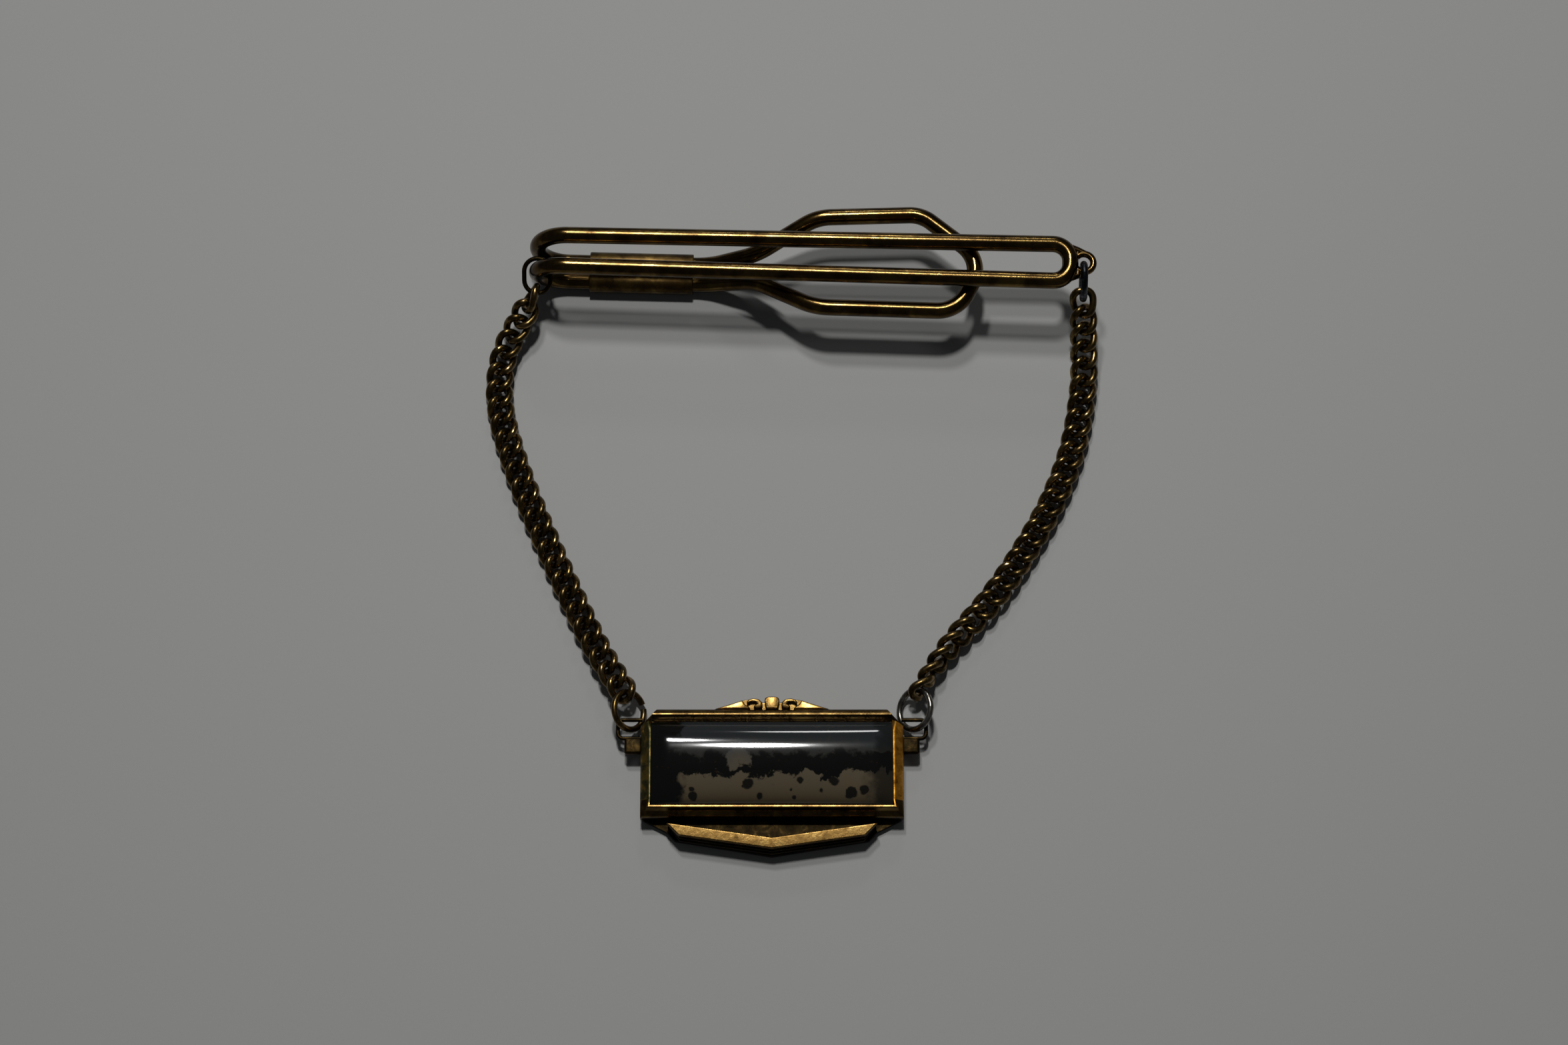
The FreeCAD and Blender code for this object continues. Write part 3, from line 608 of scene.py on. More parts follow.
def draw_wire(bm, route, radii, sides=THIN_WIRE_SIDES, closed=False):
    """Round wire: a circle extruded from point to point, with one radius or one for each point."""
    if isinstance(radii, float):
        radii = [radii] * len(route)
    along = directions(route, closed)
    turn = Vector((0, 0, 1)).rotation_difference(along[0])
    place = Matrix.LocRotScale(route[0], turn, Vector((radii[0],) * 3))
    made = bmesh.ops.create_circle(bm, segments=sides, radius=1.0, matrix=place)
    first = list({edge for vert in made["verts"] for edge in vert.link_edges})
    ring = first
    for number in range(1, len(route)):
        turn = along[number - 1].rotation_difference(along[number]) @ turn
        new_place = Matrix.LocRotScale(route[number], turn, Vector((radii[number],) * 3))
        verts, ring = grow_ring(bm, ring)
        bmesh.ops.transform(bm, matrix=new_place @ place.inverted(), verts=verts)
        place = new_place
    if closed:
        bmesh.ops.bridge_loops(bm, edges=first + ring)
    else:
        bmesh.ops.holes_fill(bm, edges=first + ring, sides=0)


def loft_rings(bm, rings):
    """A closed band that runs through rings of points and back to the first."""
    here = [bm.verts.new(point) for point in rings[0]]
    first = [bm.edges.new(pair) for pair in zip(here, here[1:] + here[:1])]
    edges = first
    for points in rings[1:]:
        verts, edges = grow_ring(bm, edges)
        fresh = set(verts)
        following = []
        for vert, point in zip(here, points):
            new = [edge.other_vert(vert) for edge in vert.link_edges]
            new = [other for other in new if other in fresh][0]
            new.co = point
            following.append(new)
        here = following
    bmesh.ops.bridge_loops(bm, edges=first + edges)


def push_outline(bm, outline, push):
    """A solid from a flat outline and the way it is pushed; gives its verts."""
    verts = [bm.verts.new(point) for point in outline]
    face = bm.faces.new(verts)
    grown = bmesh.ops.extrude_face_region(bm, geom=[face])["geom"]
    moved = [item for item in grown if isinstance(item, bmesh.types.BMVert)]
    bmesh.ops.translate(bm, vec=push, verts=moved)
    edges = {edge for vert in verts + moved for edge in vert.link_edges if edge.is_boundary}
    if edges:
        bmesh.ops.holes_fill(bm, edges=list(edges), sides=0)
    return verts + moved


def round_edges(bm, verts, width, segments=3, degrees=25):
    """Bevels the edges at these verts where the faces turn by more than the angle."""
    edges = {edge for vert in verts for edge in vert.link_edges}
    limit = math.radians(degrees)
    sharp = [edge for edge in edges if len(edge.link_faces) == 2 and edge.calc_face_angle() > limit]
    bmesh.ops.bevel(
        bm,
        geom=sharp,
        offset=width,
        offset_type="OFFSET",
        segments=segments,
        profile=0.5,
        affect="EDGES",
        material=-1,
        clamp_overlap=True,
    )


def make_piece(bm, name, finishes, nodes=(), body=None, smooth_angle=50, flat_faces=False):
    """Turns a bmesh into a finished piece that stands for CAD nodes and rides on a body."""
    bmesh.ops.remove_doubles(bm, verts=bm.verts, dist=WELD)
    bmesh.ops.recalc_face_normals(bm, faces=bm.faces)
    mesh = bpy.data.meshes.new(name)
    bm.to_mesh(mesh)
    bm.free()
    mesh.shade_smooth()
    mesh.set_sharp_from_angle(angle=math.radians(smooth_angle))
    for finish in finishes:
        mesh.materials.append(finish_named(finish))
    piece = bpy.data.objects.new(name, mesh)
    bpy.context.scene.collection.objects.link(piece)
    if flat_faces:
        # Large flat faces keep their own normals beside the bevels
        piece.modifiers.new("flat_faces", "WEIGHTED_NORMAL")
    if body:
        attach(piece, body)
    if nodes:
        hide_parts(*nodes)
    return piece


def dress_node(name, finish):
    """Gives a CAD node its finish."""
    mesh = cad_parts[name].data
    mesh.materials.clear()
    mesh.materials.append(finish_named(finish))


# The slide

# The paddle's corners as shares of its length and half width
PADDLE_SHARES = [(0.0, 1.04), (0.65, 1.16), (1.04, 0.13), (0.885, -1.02), (0.0, -1.0)]
WAIST_RISE_SHARE = 0.57


def slide_place(sizes):
    return Matrix.Translation((sizes.left, sizes.middle, 0)) @ Matrix.Rotation(sizes.lean, 4, "Z")


def wire_pair(place, spacing, level):
    return Vector((place, spacing / 2, level)), Vector((place, -spacing / 2, level))


def split_route(route, limit):
    """A route's first bend, what lies past the limit, and its last bend."""
    straight = [number for number, point in enumerate(route) if point.x > limit - SLACK]
    first = straight[0]
    last = straight[-1]
    return route[:first + 1], route[first:last + 1], route[last:]


class TIECHAIN_OT_slide_wire(Operator):
    """Bends the sprung wire: front bars, bends, neck and paddle"""

    bl_idname = "tiechain.slide_wire"
    bl_label = "Slide wire"

    def execute(self, context):
        sizes = context.scene.tiechain_slide
        place = slide_place(sizes)
        radius = sizes.wire / 2
        front = sizes.back_height + sizes.rise
        middle = sizes.back_height + sizes.rise / 2
        cut = wire_pair(radius, (sizes.front_left + sizes.back) / 2, middle)
        knee = wire_pair(radius, sizes.front_left, front)
        tip = wire_pair(sizes.long - radius, sizes.front_right, front)
        front_route = bent_route(
            [cut[0], knee[0], tip[0], tip[1], knee[1], cut[1]],
            [sizes.bend, sizes.end_radius, sizes.end_radius, sizes.bend],
        )
        neck_x = sizes.sleeve_start + sizes.sleeve_long + sizes.neck_run
        waist_x = neck_x + sizes.waist_run
        rise = (sizes.paddle_height - sizes.back_height) * WAIST_RISE_SHARE
        heel = wire_pair(radius, sizes.back, sizes.back_height)
        neck = wire_pair(neck_x, sizes.back, sizes.back_height)
        waist = wire_pair(waist_x, sizes.waist, sizes.back_height + rise)
        loop = []
        for along, across in PADDLE_SHARES:
            x = waist_x + sizes.shoulder_run + along * sizes.paddle_long
            loop.append(Vector((x, across * sizes.paddle_half, sizes.paddle_height)))
        ends = [sizes.bend, sizes.neck_radius, sizes.neck_radius, sizes.shoulder_radius]
        paddle_route = bent_route(
            [cut[0], heel[0], neck[0], waist[0], *loop, waist[1], neck[1], heel[1], cut[1]],
            ends + [sizes.paddle_corner] * 3 + ends[::-1],
        )
        limit = radius + sizes.bend
        front_head, front_bars, front_tail = split_route(front_route, limit)
        paddle_head, paddle_loop, paddle_tail = split_route(paddle_route, limit)
        for name, route, body, node in (
            ("front_bars", front_bars, "clip_frame", "front_bar_wire"),
            ("spring_paddle", paddle_loop, "clip_paddle", "back_paddle_wire"),
        ):
            bm = bmesh.new()
            draw_wire(bm, [place @ point for point in route], radius, THICK_WIRE_SIDES)
            make_piece(bm, name, ["worn_gilt_wire"], [node], body)
        for name, route in (
            ("upper_bend", front_head[::-1] + paddle_head[1:]),
            ("lower_bend", front_tail + paddle_tail[::-1][1:]),
        ):
            bm = bmesh.new()
            draw_wire(bm, [place @ point for point in route], radius, THICK_WIRE_SIDES)
            piece = make_piece(bm, name, ["worn_gilt_wire"])
            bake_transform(piece)
        return {"FINISHED"}


SLEEVE_SIDES = 56
SLEEVE_EDGE = 0.08 * MM


class TIECHAIN_OT_sleeve(Operator):
    """Flattens a tube over the back wires"""

    bl_idname = "tiechain.sleeve"
    bl_label = "Sleeve"

    def execute(self, context):
        sizes = context.scene.tiechain_slide
        bm = bmesh.new()
        start = Matrix.Translation((sizes.sleeve_start, 0, sizes.back_height))
        turn = Matrix.Rotation(math.radians(90), 4, "Y")
        made = bmesh.ops.create_circle(
            bm,
            segments=SLEEVE_SIDES,
            radius=sizes.back_height,
            matrix=start @ turn,
        )
        for sign in (1, -1):
            side = [vert for vert in made["verts"] if vert.co.y * sign > SLACK]
            bmesh.ops.translate(bm, vec=(0, sign * sizes.back / 2, 0), verts=side)
        ring = list({edge for vert in made["verts"] for edge in vert.link_edges})
        verts, ring = grow_ring(bm, ring)
        bmesh.ops.translate(bm, vec=(sizes.sleeve_long, 0, 0), verts=verts)
        bmesh.ops.recalc_face_normals(bm, faces=bm.faces)
        bmesh.ops.solidify(bm, geom=bm.faces[:], thickness=sizes.sleeve_wall)
        bmesh.ops.transform(bm, matrix=slide_place(sizes), verts=bm.verts)
        round_edges(bm, bm.verts, SLEEVE_EDGE, segments=2, degrees=60)
        make_piece(bm, "crimped_sleeve", ["crimped_gilt"], ["sleeve"], "clip_paddle")
        return {"FINISHED"}


EYE_POINTS = 36
# Solder at the eye, in millimetres. A drop has half sizes, and lies back from the end of the front
# bars and off their middle; a web starts at places given in the same way and runs on to the eye
DROP_HALF_SIZES = (0.45, 0.45, 0.3)
DROP_BACK, DROP_OFF = 0.1, 0.82
WEB_STARTS = [(0.7, 1.5), (0.05, 1.28)]
WEB_RADII = [0.36, 0.32, 0.3]
# The upper web ends past the eye's middle, and the lower one short of the end of the bars
UPPER_WEB_PAST, LOWER_WEB_SHORT = 0.24, 0.05
# How far out on the eye the webs end, as a share of its radius
WEB_END_SHARE = 0.97


class TIECHAIN_OT_eye(Operator):
    """Makes the eye and the solder that holds it"""

    bl_idname = "tiechain.eye"
    bl_label = "Soldered eye"

    def execute(self, context):
        sizes = context.scene.tiechain_slide
        place = slide_place(sizes)
        front = sizes.back_height + sizes.rise
        centre = place @ Vector((sizes.long + sizes.eye_offset, 0, front))
        bm = bmesh.new()
        turn = place.to_quaternion()
        last = 360 - 360 / EYE_POINTS
        route = ring_route(centre, sizes.eye_radius, turn, 0, last, EYE_POINTS)
        draw_wire(bm, route, sizes.eye_wire / 2, closed=True)
        spread = Matrix.Diagonal((*[half * MM for half in DROP_HALF_SIZES], 1))
        upper_end = sizes.long + sizes.eye_offset + UPPER_WEB_PAST * MM
        lower_end = sizes.long - LOWER_WEB_SHORT * MM
        for sign, end in ((1, upper_end), (-1, lower_end)):
            drop = place @ Vector((sizes.long - DROP_BACK * MM, sign * DROP_OFF * MM, front))
            bmesh.ops.create_icosphere(
                bm,
                subdivisions=3,
                radius=1.0,
                matrix=Matrix.Translation(drop) @ spread,
            )
            web = [(sizes.long - short * MM, off * MM) for short, off in WEB_STARTS]
            web.append((end, WEB_END_SHARE * sizes.eye_radius))
            route = [place @ Vector((x, sign * y, front)) for x, y in web]
            draw_wire(bm, route, [radius * MM for radius in WEB_RADII])
        make_piece(bm, "soldered_eye", ["worn_gilt_wire"], ["right_eye"], "clip_frame")
        return {"FINISHED"}


HALF_RING_POINTS = 18


class TIECHAIN_OT_chain(Operator):
    """Gives the links and rings their finishes, and bends the ring round the slide"""

    bl_idname = "tiechain.chain"
    bl_label = "Chain and rings"

    def execute(self, context):
        for name in LINK_NODES:
            dress_node(name, "dark_brass_chain")
        dress_node("left_jump_ring", "dark_brass_chain")
        dress_node("right_connector_link", "black_steel")
        dress_node("right_jump_ring", "steel_wire")
        # The ring round the bend is pulled to an oval that fits the wire
        sizes = context.scene.tiechain_slide
        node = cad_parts["left_clip_ring"]
        corners = [node.matrix_world @ Vector(corner) for corner in node.bound_box]
        centre = sum(corners, Vector()) / len(corners)
        turn = Quaternion((1, 0, 0), sizes.clip_lean)
        end = turn @ Vector((0, sizes.clip_long - sizes.clip_wide, 0))
        ease = turn @ Vector((0, sizes.clip_ease, 0))
        route = ring_route(centre + end + ease, sizes.clip_wide, turn, 0, 180, HALF_RING_POINTS)
        route += ring_route(centre - end, sizes.clip_wide, turn, 180, 360, HALF_RING_POINTS)
        bm = bmesh.new()
        draw_wire(bm, route, sizes.clip_wire / 2, closed=True)
        nodes = ["left_clip_ring"]
        make_piece(bm, "oval_clip_ring", ["tarnished_brass"], nodes, "row_01")
        return {"FINISHED"}


# The pendant

# Sections of the frame, as the distance in from its outer edge and the height, in millimetres: the
# upper rim is a rolled bead, the lower one slopes up to a lip along the stone
UPPER_SECTION = [
    (-0.06, 0.7), (-0.06, 2.3), (-0.02, 2.55), (0.08, 2.8), (0.2, 2.95), (0.46, 3.062),
    (0.5, 3.08), (0.59, 3.0895), (0.64, 3.07), (0.88, 2.78), (1.0, 2.66), (1.2, 2.62), (1.2, 0.7),
]
LOWER_SECTION = [
    (0.0, 0.7), (0.0, 1.65), (0.05, 1.85), (0.14, 2.0), (0.28, 2.1), (0.44, 2.2), (0.58, 2.34),
    (0.68, 2.52), (0.76, 2.74), (0.82, 2.795), (1.02, 2.77), (1.04, 2.74), (1.04, 0.7),
]
SIDE_SECTION = [
    (0.0, 0.7), (0.0, 1.9), (0.04, 2.1), (0.12, 2.22), (0.28, 2.36), (0.44, 2.48), (0.6, 2.58),
    (0.76, 2.66), (0.88, 2.72), (0.98, 2.76), (1.1, 2.78), (1.2, 2.72), (1.2, 0.7),
]
# Where the side borders pass into the rims, in millimetres: up from the frame's lower edge, and
# down from its upper corners
BORDER_LOW = 1.6
BORDER_HIGH = 1.0
# How much of a section's depth the cut at the upper corners loses, along the side and the rim
SIDE_CUT_SHARE = 0.45
RIM_CUT_SHARE = 0.8


def bezel_end(sizes, upper, lower, side):
    """Right end of a line round the frame, from the lower rim over the side to the upper rim."""
    side_share = sizes.side / sizes.rim
    side_x = sizes.half_wide - side[0] * side_share * MM
    side_top = sizes.half_high - (sizes.corner - side[0] * SIDE_CUT_SHARE * MM)
    # Where the sections meet, the points beside a corner fall together
    low_rise = lower[0] if lower == side else BORDER_LOW
    high_drop = BORDER_HIGH if upper[1] == side[1] else 0.0
    rim_cut = max(sizes.corner - upper[0] * RIM_CUT_SHARE * MM, 0.0)
    low_x = sizes.half_wide - lower[0] * side_share * MM
    return [
        (low_x, -sizes.half_high + lower[0] * MM, lower[1] * MM),
        (side_x, -sizes.half_high + low_rise * MM, (lower[1] + side[1]) / 2 * MM),
        (side_x, side_top - BORDER_HIGH * MM, side[1] * MM),
        (side_x, side_top - high_drop * MM, (side[1] + upper[1]) / 2 * MM),
        (sizes.half_wide - rim_cut, sizes.half_high - upper[0] * MM, upper[1] * MM),
    ]


class TIECHAIN_OT_bezel(Operator):
    """Rolls the frame round the stone"""

    bl_idname = "tiechain.bezel"
    bl_label = "Bezel frame"

    def execute(self, context):
        sizes = context.scene.tiechain_pendant
        rings = []
        for upper, lower, side in zip(UPPER_SECTION, LOWER_SECTION, SIDE_SECTION):
            right = bezel_end(sizes, upper, lower, side)
            left = [(-x, y, z) for x, y, z in right]
            rings.append(left[::-1] + right)
        bm = bmesh.new()
        loft_rings(bm, rings)
        inner = sizes.half_wide - sizes.side
        for face in bm.faces:
            middle = face.calc_center_median()
            if abs(middle.x) > inner and abs(middle.y) < sizes.half_high - sizes.rim:
                face.material_index = 1 if middle.x < 0 else 2
        finishes = ["rolled_gilt", "verdigris_gilt", "worn_border"]
        nodes = ["bezel_frame"]
        make_piece(bm, "bezel", finishes, nodes, "pendant", 60, flat_faces=True)
        return {"FINISHED"}


# Room between the stone and the frame
STONE_EASE = 0.01 * MM
# The dome falls across the stone in a round share and a sharp one at the edge, each with its power;
# along the stone it slopes a little, and it turns down near the ends
ROUND_FALL, ROUND_POWER = 0.76, 2.9
EDGE_FALL, EDGE_POWER = 0.24, 10
SLOPE_FALL, SLOPE_POWER = 0.14, 2
END_FALL, END_POWER = 0.3, 3
END_START = 0.84


class TIECHAIN_OT_stone(Operator):
    """Cuts the domed stone"""

    bl_idname = "tiechain.stone"
    bl_label = "Stone"

    def execute(self, context):
        sizes = context.scene.tiechain_pendant
        half_x = sizes.half_wide - sizes.side - STONE_EASE
        half_y = sizes.half_high - sizes.rim - STONE_EASE
        bm = bmesh.new()
        spread = Matrix.Diagonal((half_x, half_y, 1, 1))
        bmesh.ops.create_grid(bm, x_segments=120, y_segments=60, size=1.0, matrix=spread)
        for vert in bm.verts:
            across = abs(vert.co.y) / half_y
            along = abs(vert.co.x) / half_x
            near_end = max(0.0, (along - END_START) / (1 - END_START))
            arch = 1 - ROUND_FALL * across ** ROUND_POWER - EDGE_FALL * across ** EDGE_POWER
            fall = SLOPE_FALL * along ** SLOPE_POWER + END_FALL * near_end ** END_POWER
            vert.co.z = sizes.girdle + sizes.crown * arch * (1 - fall)
            if vert.co.y < 0:
                vert.co.y -= across * sizes.lip_gain
        rim = [edge for edge in bm.edges if edge.is_boundary]
        skirt, ring = grow_ring(bm, rim)
        for vert in skirt:
            vert.co.z = sizes.plate
        bmesh.ops.holes_fill(bm, edges=ring, sides=0)
        make_piece(bm, "domed_agate", ["moss_agate"], ["agate_stone"], "pendant", 40)
        return {"FINISHED"}


# Rounding of the stamped edges, and how far the crest's foot lies under its middle
STAMPED_EDGE = 0.12 * MM
CREST_FOOT = 0.7 * MM
# The crest's stamped shapes, right half: the outline from the middle and the frame's upper edge,
# and the height over the crest's foot, all in millimetres
CREST_SHAPES = [
    # The ground of the whole crest
    (
        [
            (0.0, -0.1), (5.5, -0.1), (5.5, 0.1), (4.2, 0.48), (3.2, 0.8), (2.6, 1.0),
            (1.9, 1.08), (1.2, 0.98), (0.9, 0.75), (0.0, 0.75),
        ],
        1.05,
    ),
    # Barrel in the middle
    (
        [
            (0.0, 0.06), (0.56, 0.06), (0.62, 0.3), (0.7, 0.75), (0.66, 1.08), (0.4, 1.2),
            (0.0, 1.22),
        ],
        1.6,
    ),
    # Scroll beside it
    (
        [
            (0.98, 0.14), (1.5, 0.06), (1.75, 0.22), (1.62, 0.46), (1.4, 0.52), (1.56, 0.7),
            (1.95, 0.72), (2.3, 0.52), (2.42, 0.7), (2.2, 0.96), (1.8, 1.06), (1.25, 1.0),
            (0.95, 0.72), (0.86, 0.4),
        ],
        1.5,
    ),
    # Leaf out to the tip
    (
        [
            (2.0, 0.06), (5.4, 0.06), (4.3, 0.4), (3.3, 0.72), (2.75, 0.92), (2.6, 0.56),
            (2.2, 0.3),
        ],
        1.4,
    ),
]


class TIECHAIN_OT_crest(Operator):
    """Models the stamped crest: barrel, scrolls and leaves"""

    bl_idname = "tiechain.crest"
    bl_label = "Crest"

    def execute(self, context):
        sizes = context.scene.tiechain_pendant
        bm = bmesh.new()
        for shape, top in CREST_SHAPES:
            mirrored = [(-x, y) for x, y in shape if x][::-1]
            for outline in [shape, mirrored] if shape[0][0] else [shape + mirrored]:
                base = [
                    Vector((x * MM, sizes.half_high + y * MM, sizes.crest_level - CREST_FOOT))
                    for x, y in outline
                ]
                verts = push_outline(bm, base, Vector((0, 0, top * MM)))
                round_edges(bm, verts, STAMPED_EDGE)
        name = "stamped_crest"
        finishes = ["stamped_gilt"]
        nodes = ["top_crest"]
        make_piece(bm, name, finishes, nodes, "pendant", 60, flat_faces=True)
        return {"FINISHED"}


# Where the trim's lower edge turns up to its tips, as a share of its half width
TRIM_FOOT_SHARE = 0.88
# Underside and thickness of the bright bar
BAR_UNDER = 1.5 * MM
BAR_THICK = 0.9 * MM
# The steps below it, in millimetres: how far each stands out from the bar, and its top's height
TRIM_STEPS = [(0.16, 1.62), (0.34, 1.25)]
STEP_EDGE = 0.07 * MM
# How much shorter the steps are than the bar at each tip
STEP_SHORT = 0.1 * MM


def pointed_bar(half, tip, apex, width, height):
    """Outline of a bar that runs to a point in the middle, at one height."""
    foot = half * TRIM_FOOT_SHARE
    slant = (tip - apex) * (1 - TRIM_FOOT_SHARE)
    return [
        Vector((half, tip, height)),
        Vector((foot, tip - slant - width, height)),
        Vector((0, apex - width, height)),
        Vector((-foot, tip - slant - width, height)),
        Vector((-half, tip, height)),
        Vector((0, apex, height)),
    ]


class TIECHAIN_OT_trim(Operator):
    """Makes the pointed trim with its steps, and finishes the back plate"""

    bl_idname = "tiechain.trim"
    bl_label = "Trim and plate"

    def execute(self, context):
        sizes = context.scene.tiechain_pendant
        tip = -sizes.half_high - sizes.trim_tip
        apex = -sizes.half_high - sizes.trim_apex
        bm = bmesh.new()
        outline = pointed_bar(sizes.trim_half, tip, apex, sizes.trim_bar, BAR_UNDER)
        verts = push_outline(bm, outline, Vector((0, 0, BAR_THICK)))
        round_edges(bm, verts, STAMPED_EDGE)
        finishes = ["stamped_gilt"]
        nodes = ["bottom_trim"]
        make_piece(bm, "trim_bar", finishes, nodes, "pendant", 60, flat_faces=True)
        bm = bmesh.new()
        half = sizes.trim_half - STEP_SHORT
        for margin, top in TRIM_STEPS:
            outline = pointed_bar(half, tip, apex, sizes.trim_bar + margin * MM, sizes.plate)
            verts = push_outline(bm, outline, Vector((0, 0, top * MM - sizes.plate)))
            round_edges(bm, verts, STEP_EDGE, segments=2)
        # The steps under the bar take the plate's finish, whose dark colours hold painted shade
        finishes = ["tarnished_brass"]
        make_piece(bm, "trim_steps", finishes, (), "pendant", 60, flat_faces=True)
        # The back plate's near-black colours are painted shade of its recess, over old tarnish
        dress_node("back_plate", "tarnished_brass")
        return {"FINISHED"}


LUG_WIRE_RADIUS = 0.2 * MM
LUG_BEND = 0.5 * MM
# How far a lug's loop runs into the frame
LUG_ROOT = 0.15 * MM
# A lug's foot: from the frame's side to its middle, its width and thickness, how far it runs into
# the loop, and its rounding
FOOT_OUT = 0.7 * MM
FOOT_WIDE = 1.7 * MM
FOOT_THICK = 0.6 * MM
FOOT_OVERLAP = 0.1 * MM
FOOT_EDGE = 0.28 * MM


class TIECHAIN_OT_lugs(Operator):
    """Bends the side lugs' loops and sets their feet"""

    bl_idname = "tiechain.lugs"
    bl_label = "Lugs"

    def execute(self, context):
        sizes = context.scene.tiechain_pendant
        for sign, side in ((-1, "left"), (1, "right")):
            bm = bmesh.new()
            root = sign * (sizes.half_wide - LUG_ROOT)
            far = sign * (sizes.half_wide + sizes.lug_reach - LUG_WIRE_RADIUS)
            top = sizes.lug_top - LUG_WIRE_RADIUS
            low = sizes.lug_slot - LUG_WIRE_RADIUS
            corners = [
                Vector((root, top, sizes.lug_level)),
                Vector((far, top, sizes.lug_level)),
                Vector((far, low, sizes.lug_level)),
                Vector((root, low, sizes.lug_level)),
            ]
            route = bent_route(corners, [LUG_BEND, LUG_BEND], FINE_BEND_STEP)
            draw_wire(bm, route, LUG_WIRE_RADIUS)
            foot_x = sign * (sizes.half_wide + FOOT_OUT)
            middle = Matrix.Translation((foot_x, (sizes.lug_low + low) / 2, sizes.lug_level))
            high = low - sizes.lug_low + FOOT_OVERLAP
            block = Matrix.Diagonal((FOOT_WIDE, high, FOOT_THICK, 1))
            foot = bmesh.ops.create_cube(bm, size=1.0, matrix=middle @ block)
            round_edges(bm, foot["verts"], FOOT_EDGE, segments=5)
            name = f"{side}_loop_lug"
            nodes = [f"{side}_lug"]
            make_piece(bm, name, ["tarnished_brass"], nodes, "pendant", 60)
        return {"FINISHED"}


# The stage

PAPER_HALF = 1.5
PICTURE_MIDDLE = Vector((1.13 * MM, 24.15 * MM, 0))
# Lens and sensor in millimetres, and the nearest distance that the camera draws
LENS = 50.0
SENSOR = 22.2
NEAREST = 0.01
ROOM_COLOUR = "#b9bcc0"
ROOM_LIGHT = 0.1
LAMP_COLOUR = (1.0, 0.995, 0.98)
# Each lamp: its name, the setting for its elevation, its place across in millimetres, its width and
# height in metres, and its watts. Two hang over the table, and so give double shadows; the third is
# weak, and low behind it
LAMPS = [
    ("main_lamp", "key_tilt", -14, 0.05, 0.06, 0.69),
    ("left_lamp", "left_tilt", -66, 0.042, 0.06, 0.36),
    ("low_lamp", "low_tilt", 35, 0.1, 0.06, 0.072),
]


def aim(location, target):
    """The rotation that points a lamp or camera at a place."""
    return (target - location).to_track_quat("-Z", "Y").to_euler()


def area_lamp(name, tilt_name, across_mm, wide, high, watts):
    """A lamp on the far side of the table, at an elevation and a distance from the part."""
    settings = bpy.context.scene.tiechain_stage
    tilt = getattr(settings, tilt_name)
    away = settings.lamp_distance
    lamp = bpy.data.lights.new(name, "AREA")
    lamp.shape = "ELLIPSE"
    lamp.size = wide
    lamp.size_y = high
    lamp.energy = watts
    lamp.color = LAMP_COLOUR
    lamp.spread = settings.lamp_spread
    holder = bpy.data.objects.new(name, lamp)
    place = Vector((across_mm * MM, away * math.cos(tilt), away * math.sin(tilt)))
    holder.location = PICTURE_MIDDLE + place
    holder.rotation_euler = aim(holder.location, PICTURE_MIDDLE)
    bpy.context.scene.collection.objects.link(holder)


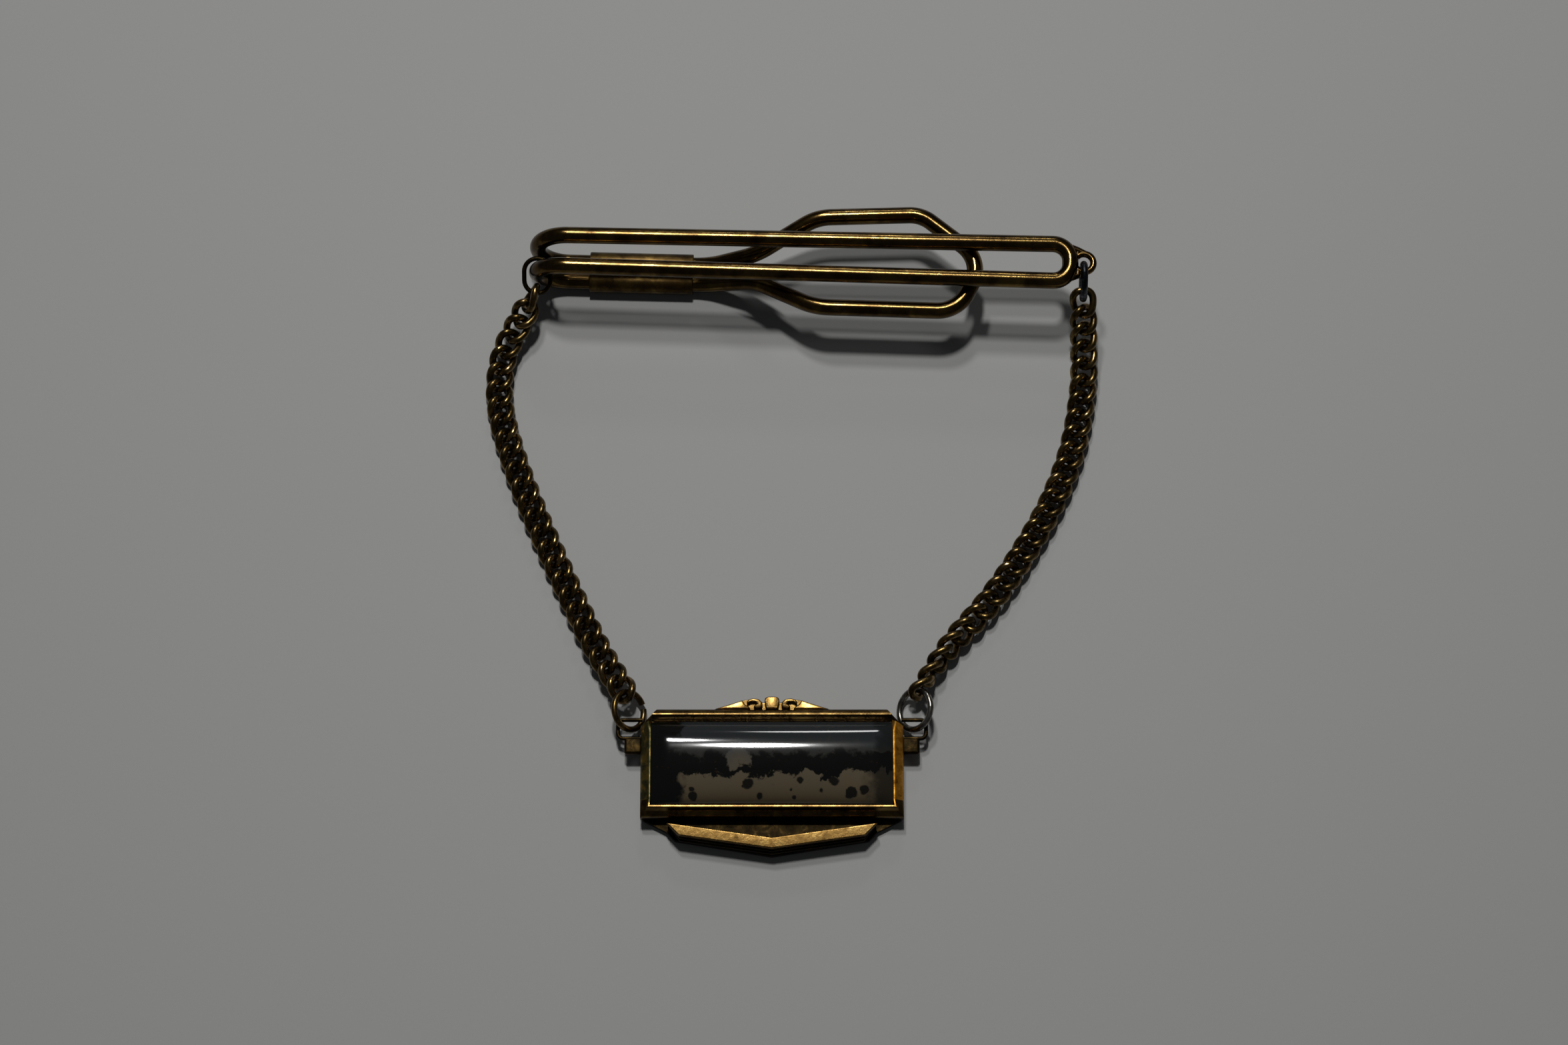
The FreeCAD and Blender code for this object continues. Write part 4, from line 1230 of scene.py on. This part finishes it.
class TIECHAIN_OT_stage(Operator):
    """Sets the paper, the lamps and the camera"""

    bl_idname = "tiechain.stage"
    bl_label = "Stage"

    def execute(self, context):
        scene = context.scene
        settings = scene.tiechain_stage
        bm = bmesh.new()
        bmesh.ops.create_grid(bm, x_segments=1, y_segments=1, size=PAPER_HALF)
        mesh = bpy.data.meshes.new("paper_floor")
        bm.to_mesh(mesh)
        bm.free()
        mesh.materials.append(finish_named("matt_paper"))
        floor = bpy.data.objects.new("paper_floor", mesh)
        scene.collection.objects.link(floor)

        back = Vector((0, -math.cos(settings.tilt), math.sin(settings.tilt)))
        view = bpy.data.cameras.new("photo_camera")
        view.lens = LENS
        view.sensor_width = SENSOR
        view.clip_start = NEAREST
        camera = bpy.data.objects.new("photo_camera", view)
        camera.location = PICTURE_MIDDLE + back * settings.distance
        camera.rotation_euler = aim(camera.location, PICTURE_MIDDLE)
        scene.collection.objects.link(camera)
        scene.camera = camera

        world = bpy.data.worlds.new("dim_room")
        world.use_nodes = True
        sky = world.node_tree.nodes["Background"]
        sky.inputs["Color"].default_value = (*linear(ROOM_COLOUR), 1.0)
        sky.inputs["Strength"].default_value = ROOM_LIGHT
        scene.world = world
        for lamp in LAMPS:
            area_lamp(*lamp)
        scene.view_settings.view_transform = "Standard"
        return {"FINISHED"}


OPERATORS = (
    TIECHAIN_OT_slide_wire,
    TIECHAIN_OT_sleeve,
    TIECHAIN_OT_eye,
    TIECHAIN_OT_chain,
    TIECHAIN_OT_bezel,
    TIECHAIN_OT_stone,
    TIECHAIN_OT_crest,
    TIECHAIN_OT_trim,
    TIECHAIN_OT_lugs,
    TIECHAIN_OT_stage,
)


class TIECHAIN_PT_pieces(Panel):
    """Lists the pieces of the tie chain"""

    bl_idname = "TIECHAIN_PT_pieces"
    bl_label = "Tie chain"
    bl_space_type = "VIEW_3D"
    bl_region_type = "UI"
    bl_category = "Tie chain"

    def draw(self, context):
        for operator in OPERATORS:
            self.layout.operator(operator.bl_idname)


CLASSES = (SlideSizes, PendantSizes, FinishColours, StageSettings, *OPERATORS, TIECHAIN_PT_pieces)


def register():
    for cls in CLASSES:
        bpy.utils.register_class(cls)
    bpy.types.Scene.tiechain_slide = PointerProperty(type=SlideSizes)
    bpy.types.Scene.tiechain_pendant = PointerProperty(type=PendantSizes)
    bpy.types.Scene.tiechain_colours = PointerProperty(type=FinishColours)
    bpy.types.Scene.tiechain_stage = PointerProperty(type=StageSettings)


def unregister():
    del bpy.types.Scene.tiechain_stage
    del bpy.types.Scene.tiechain_colours
    del bpy.types.Scene.tiechain_pendant
    del bpy.types.Scene.tiechain_slide
    for cls in reversed(CLASSES):
        bpy.utils.unregister_class(cls)


def main():
    register()
    bpy.ops.tiechain.slide_wire()
    bpy.ops.tiechain.sleeve()
    bpy.ops.tiechain.eye()
    bpy.ops.tiechain.chain()
    bpy.ops.tiechain.bezel()
    bpy.ops.tiechain.stone()
    bpy.ops.tiechain.crest()
    bpy.ops.tiechain.trim()
    bpy.ops.tiechain.lugs()
    bpy.ops.tiechain.stage()


if __name__ == "__main__":
    main()
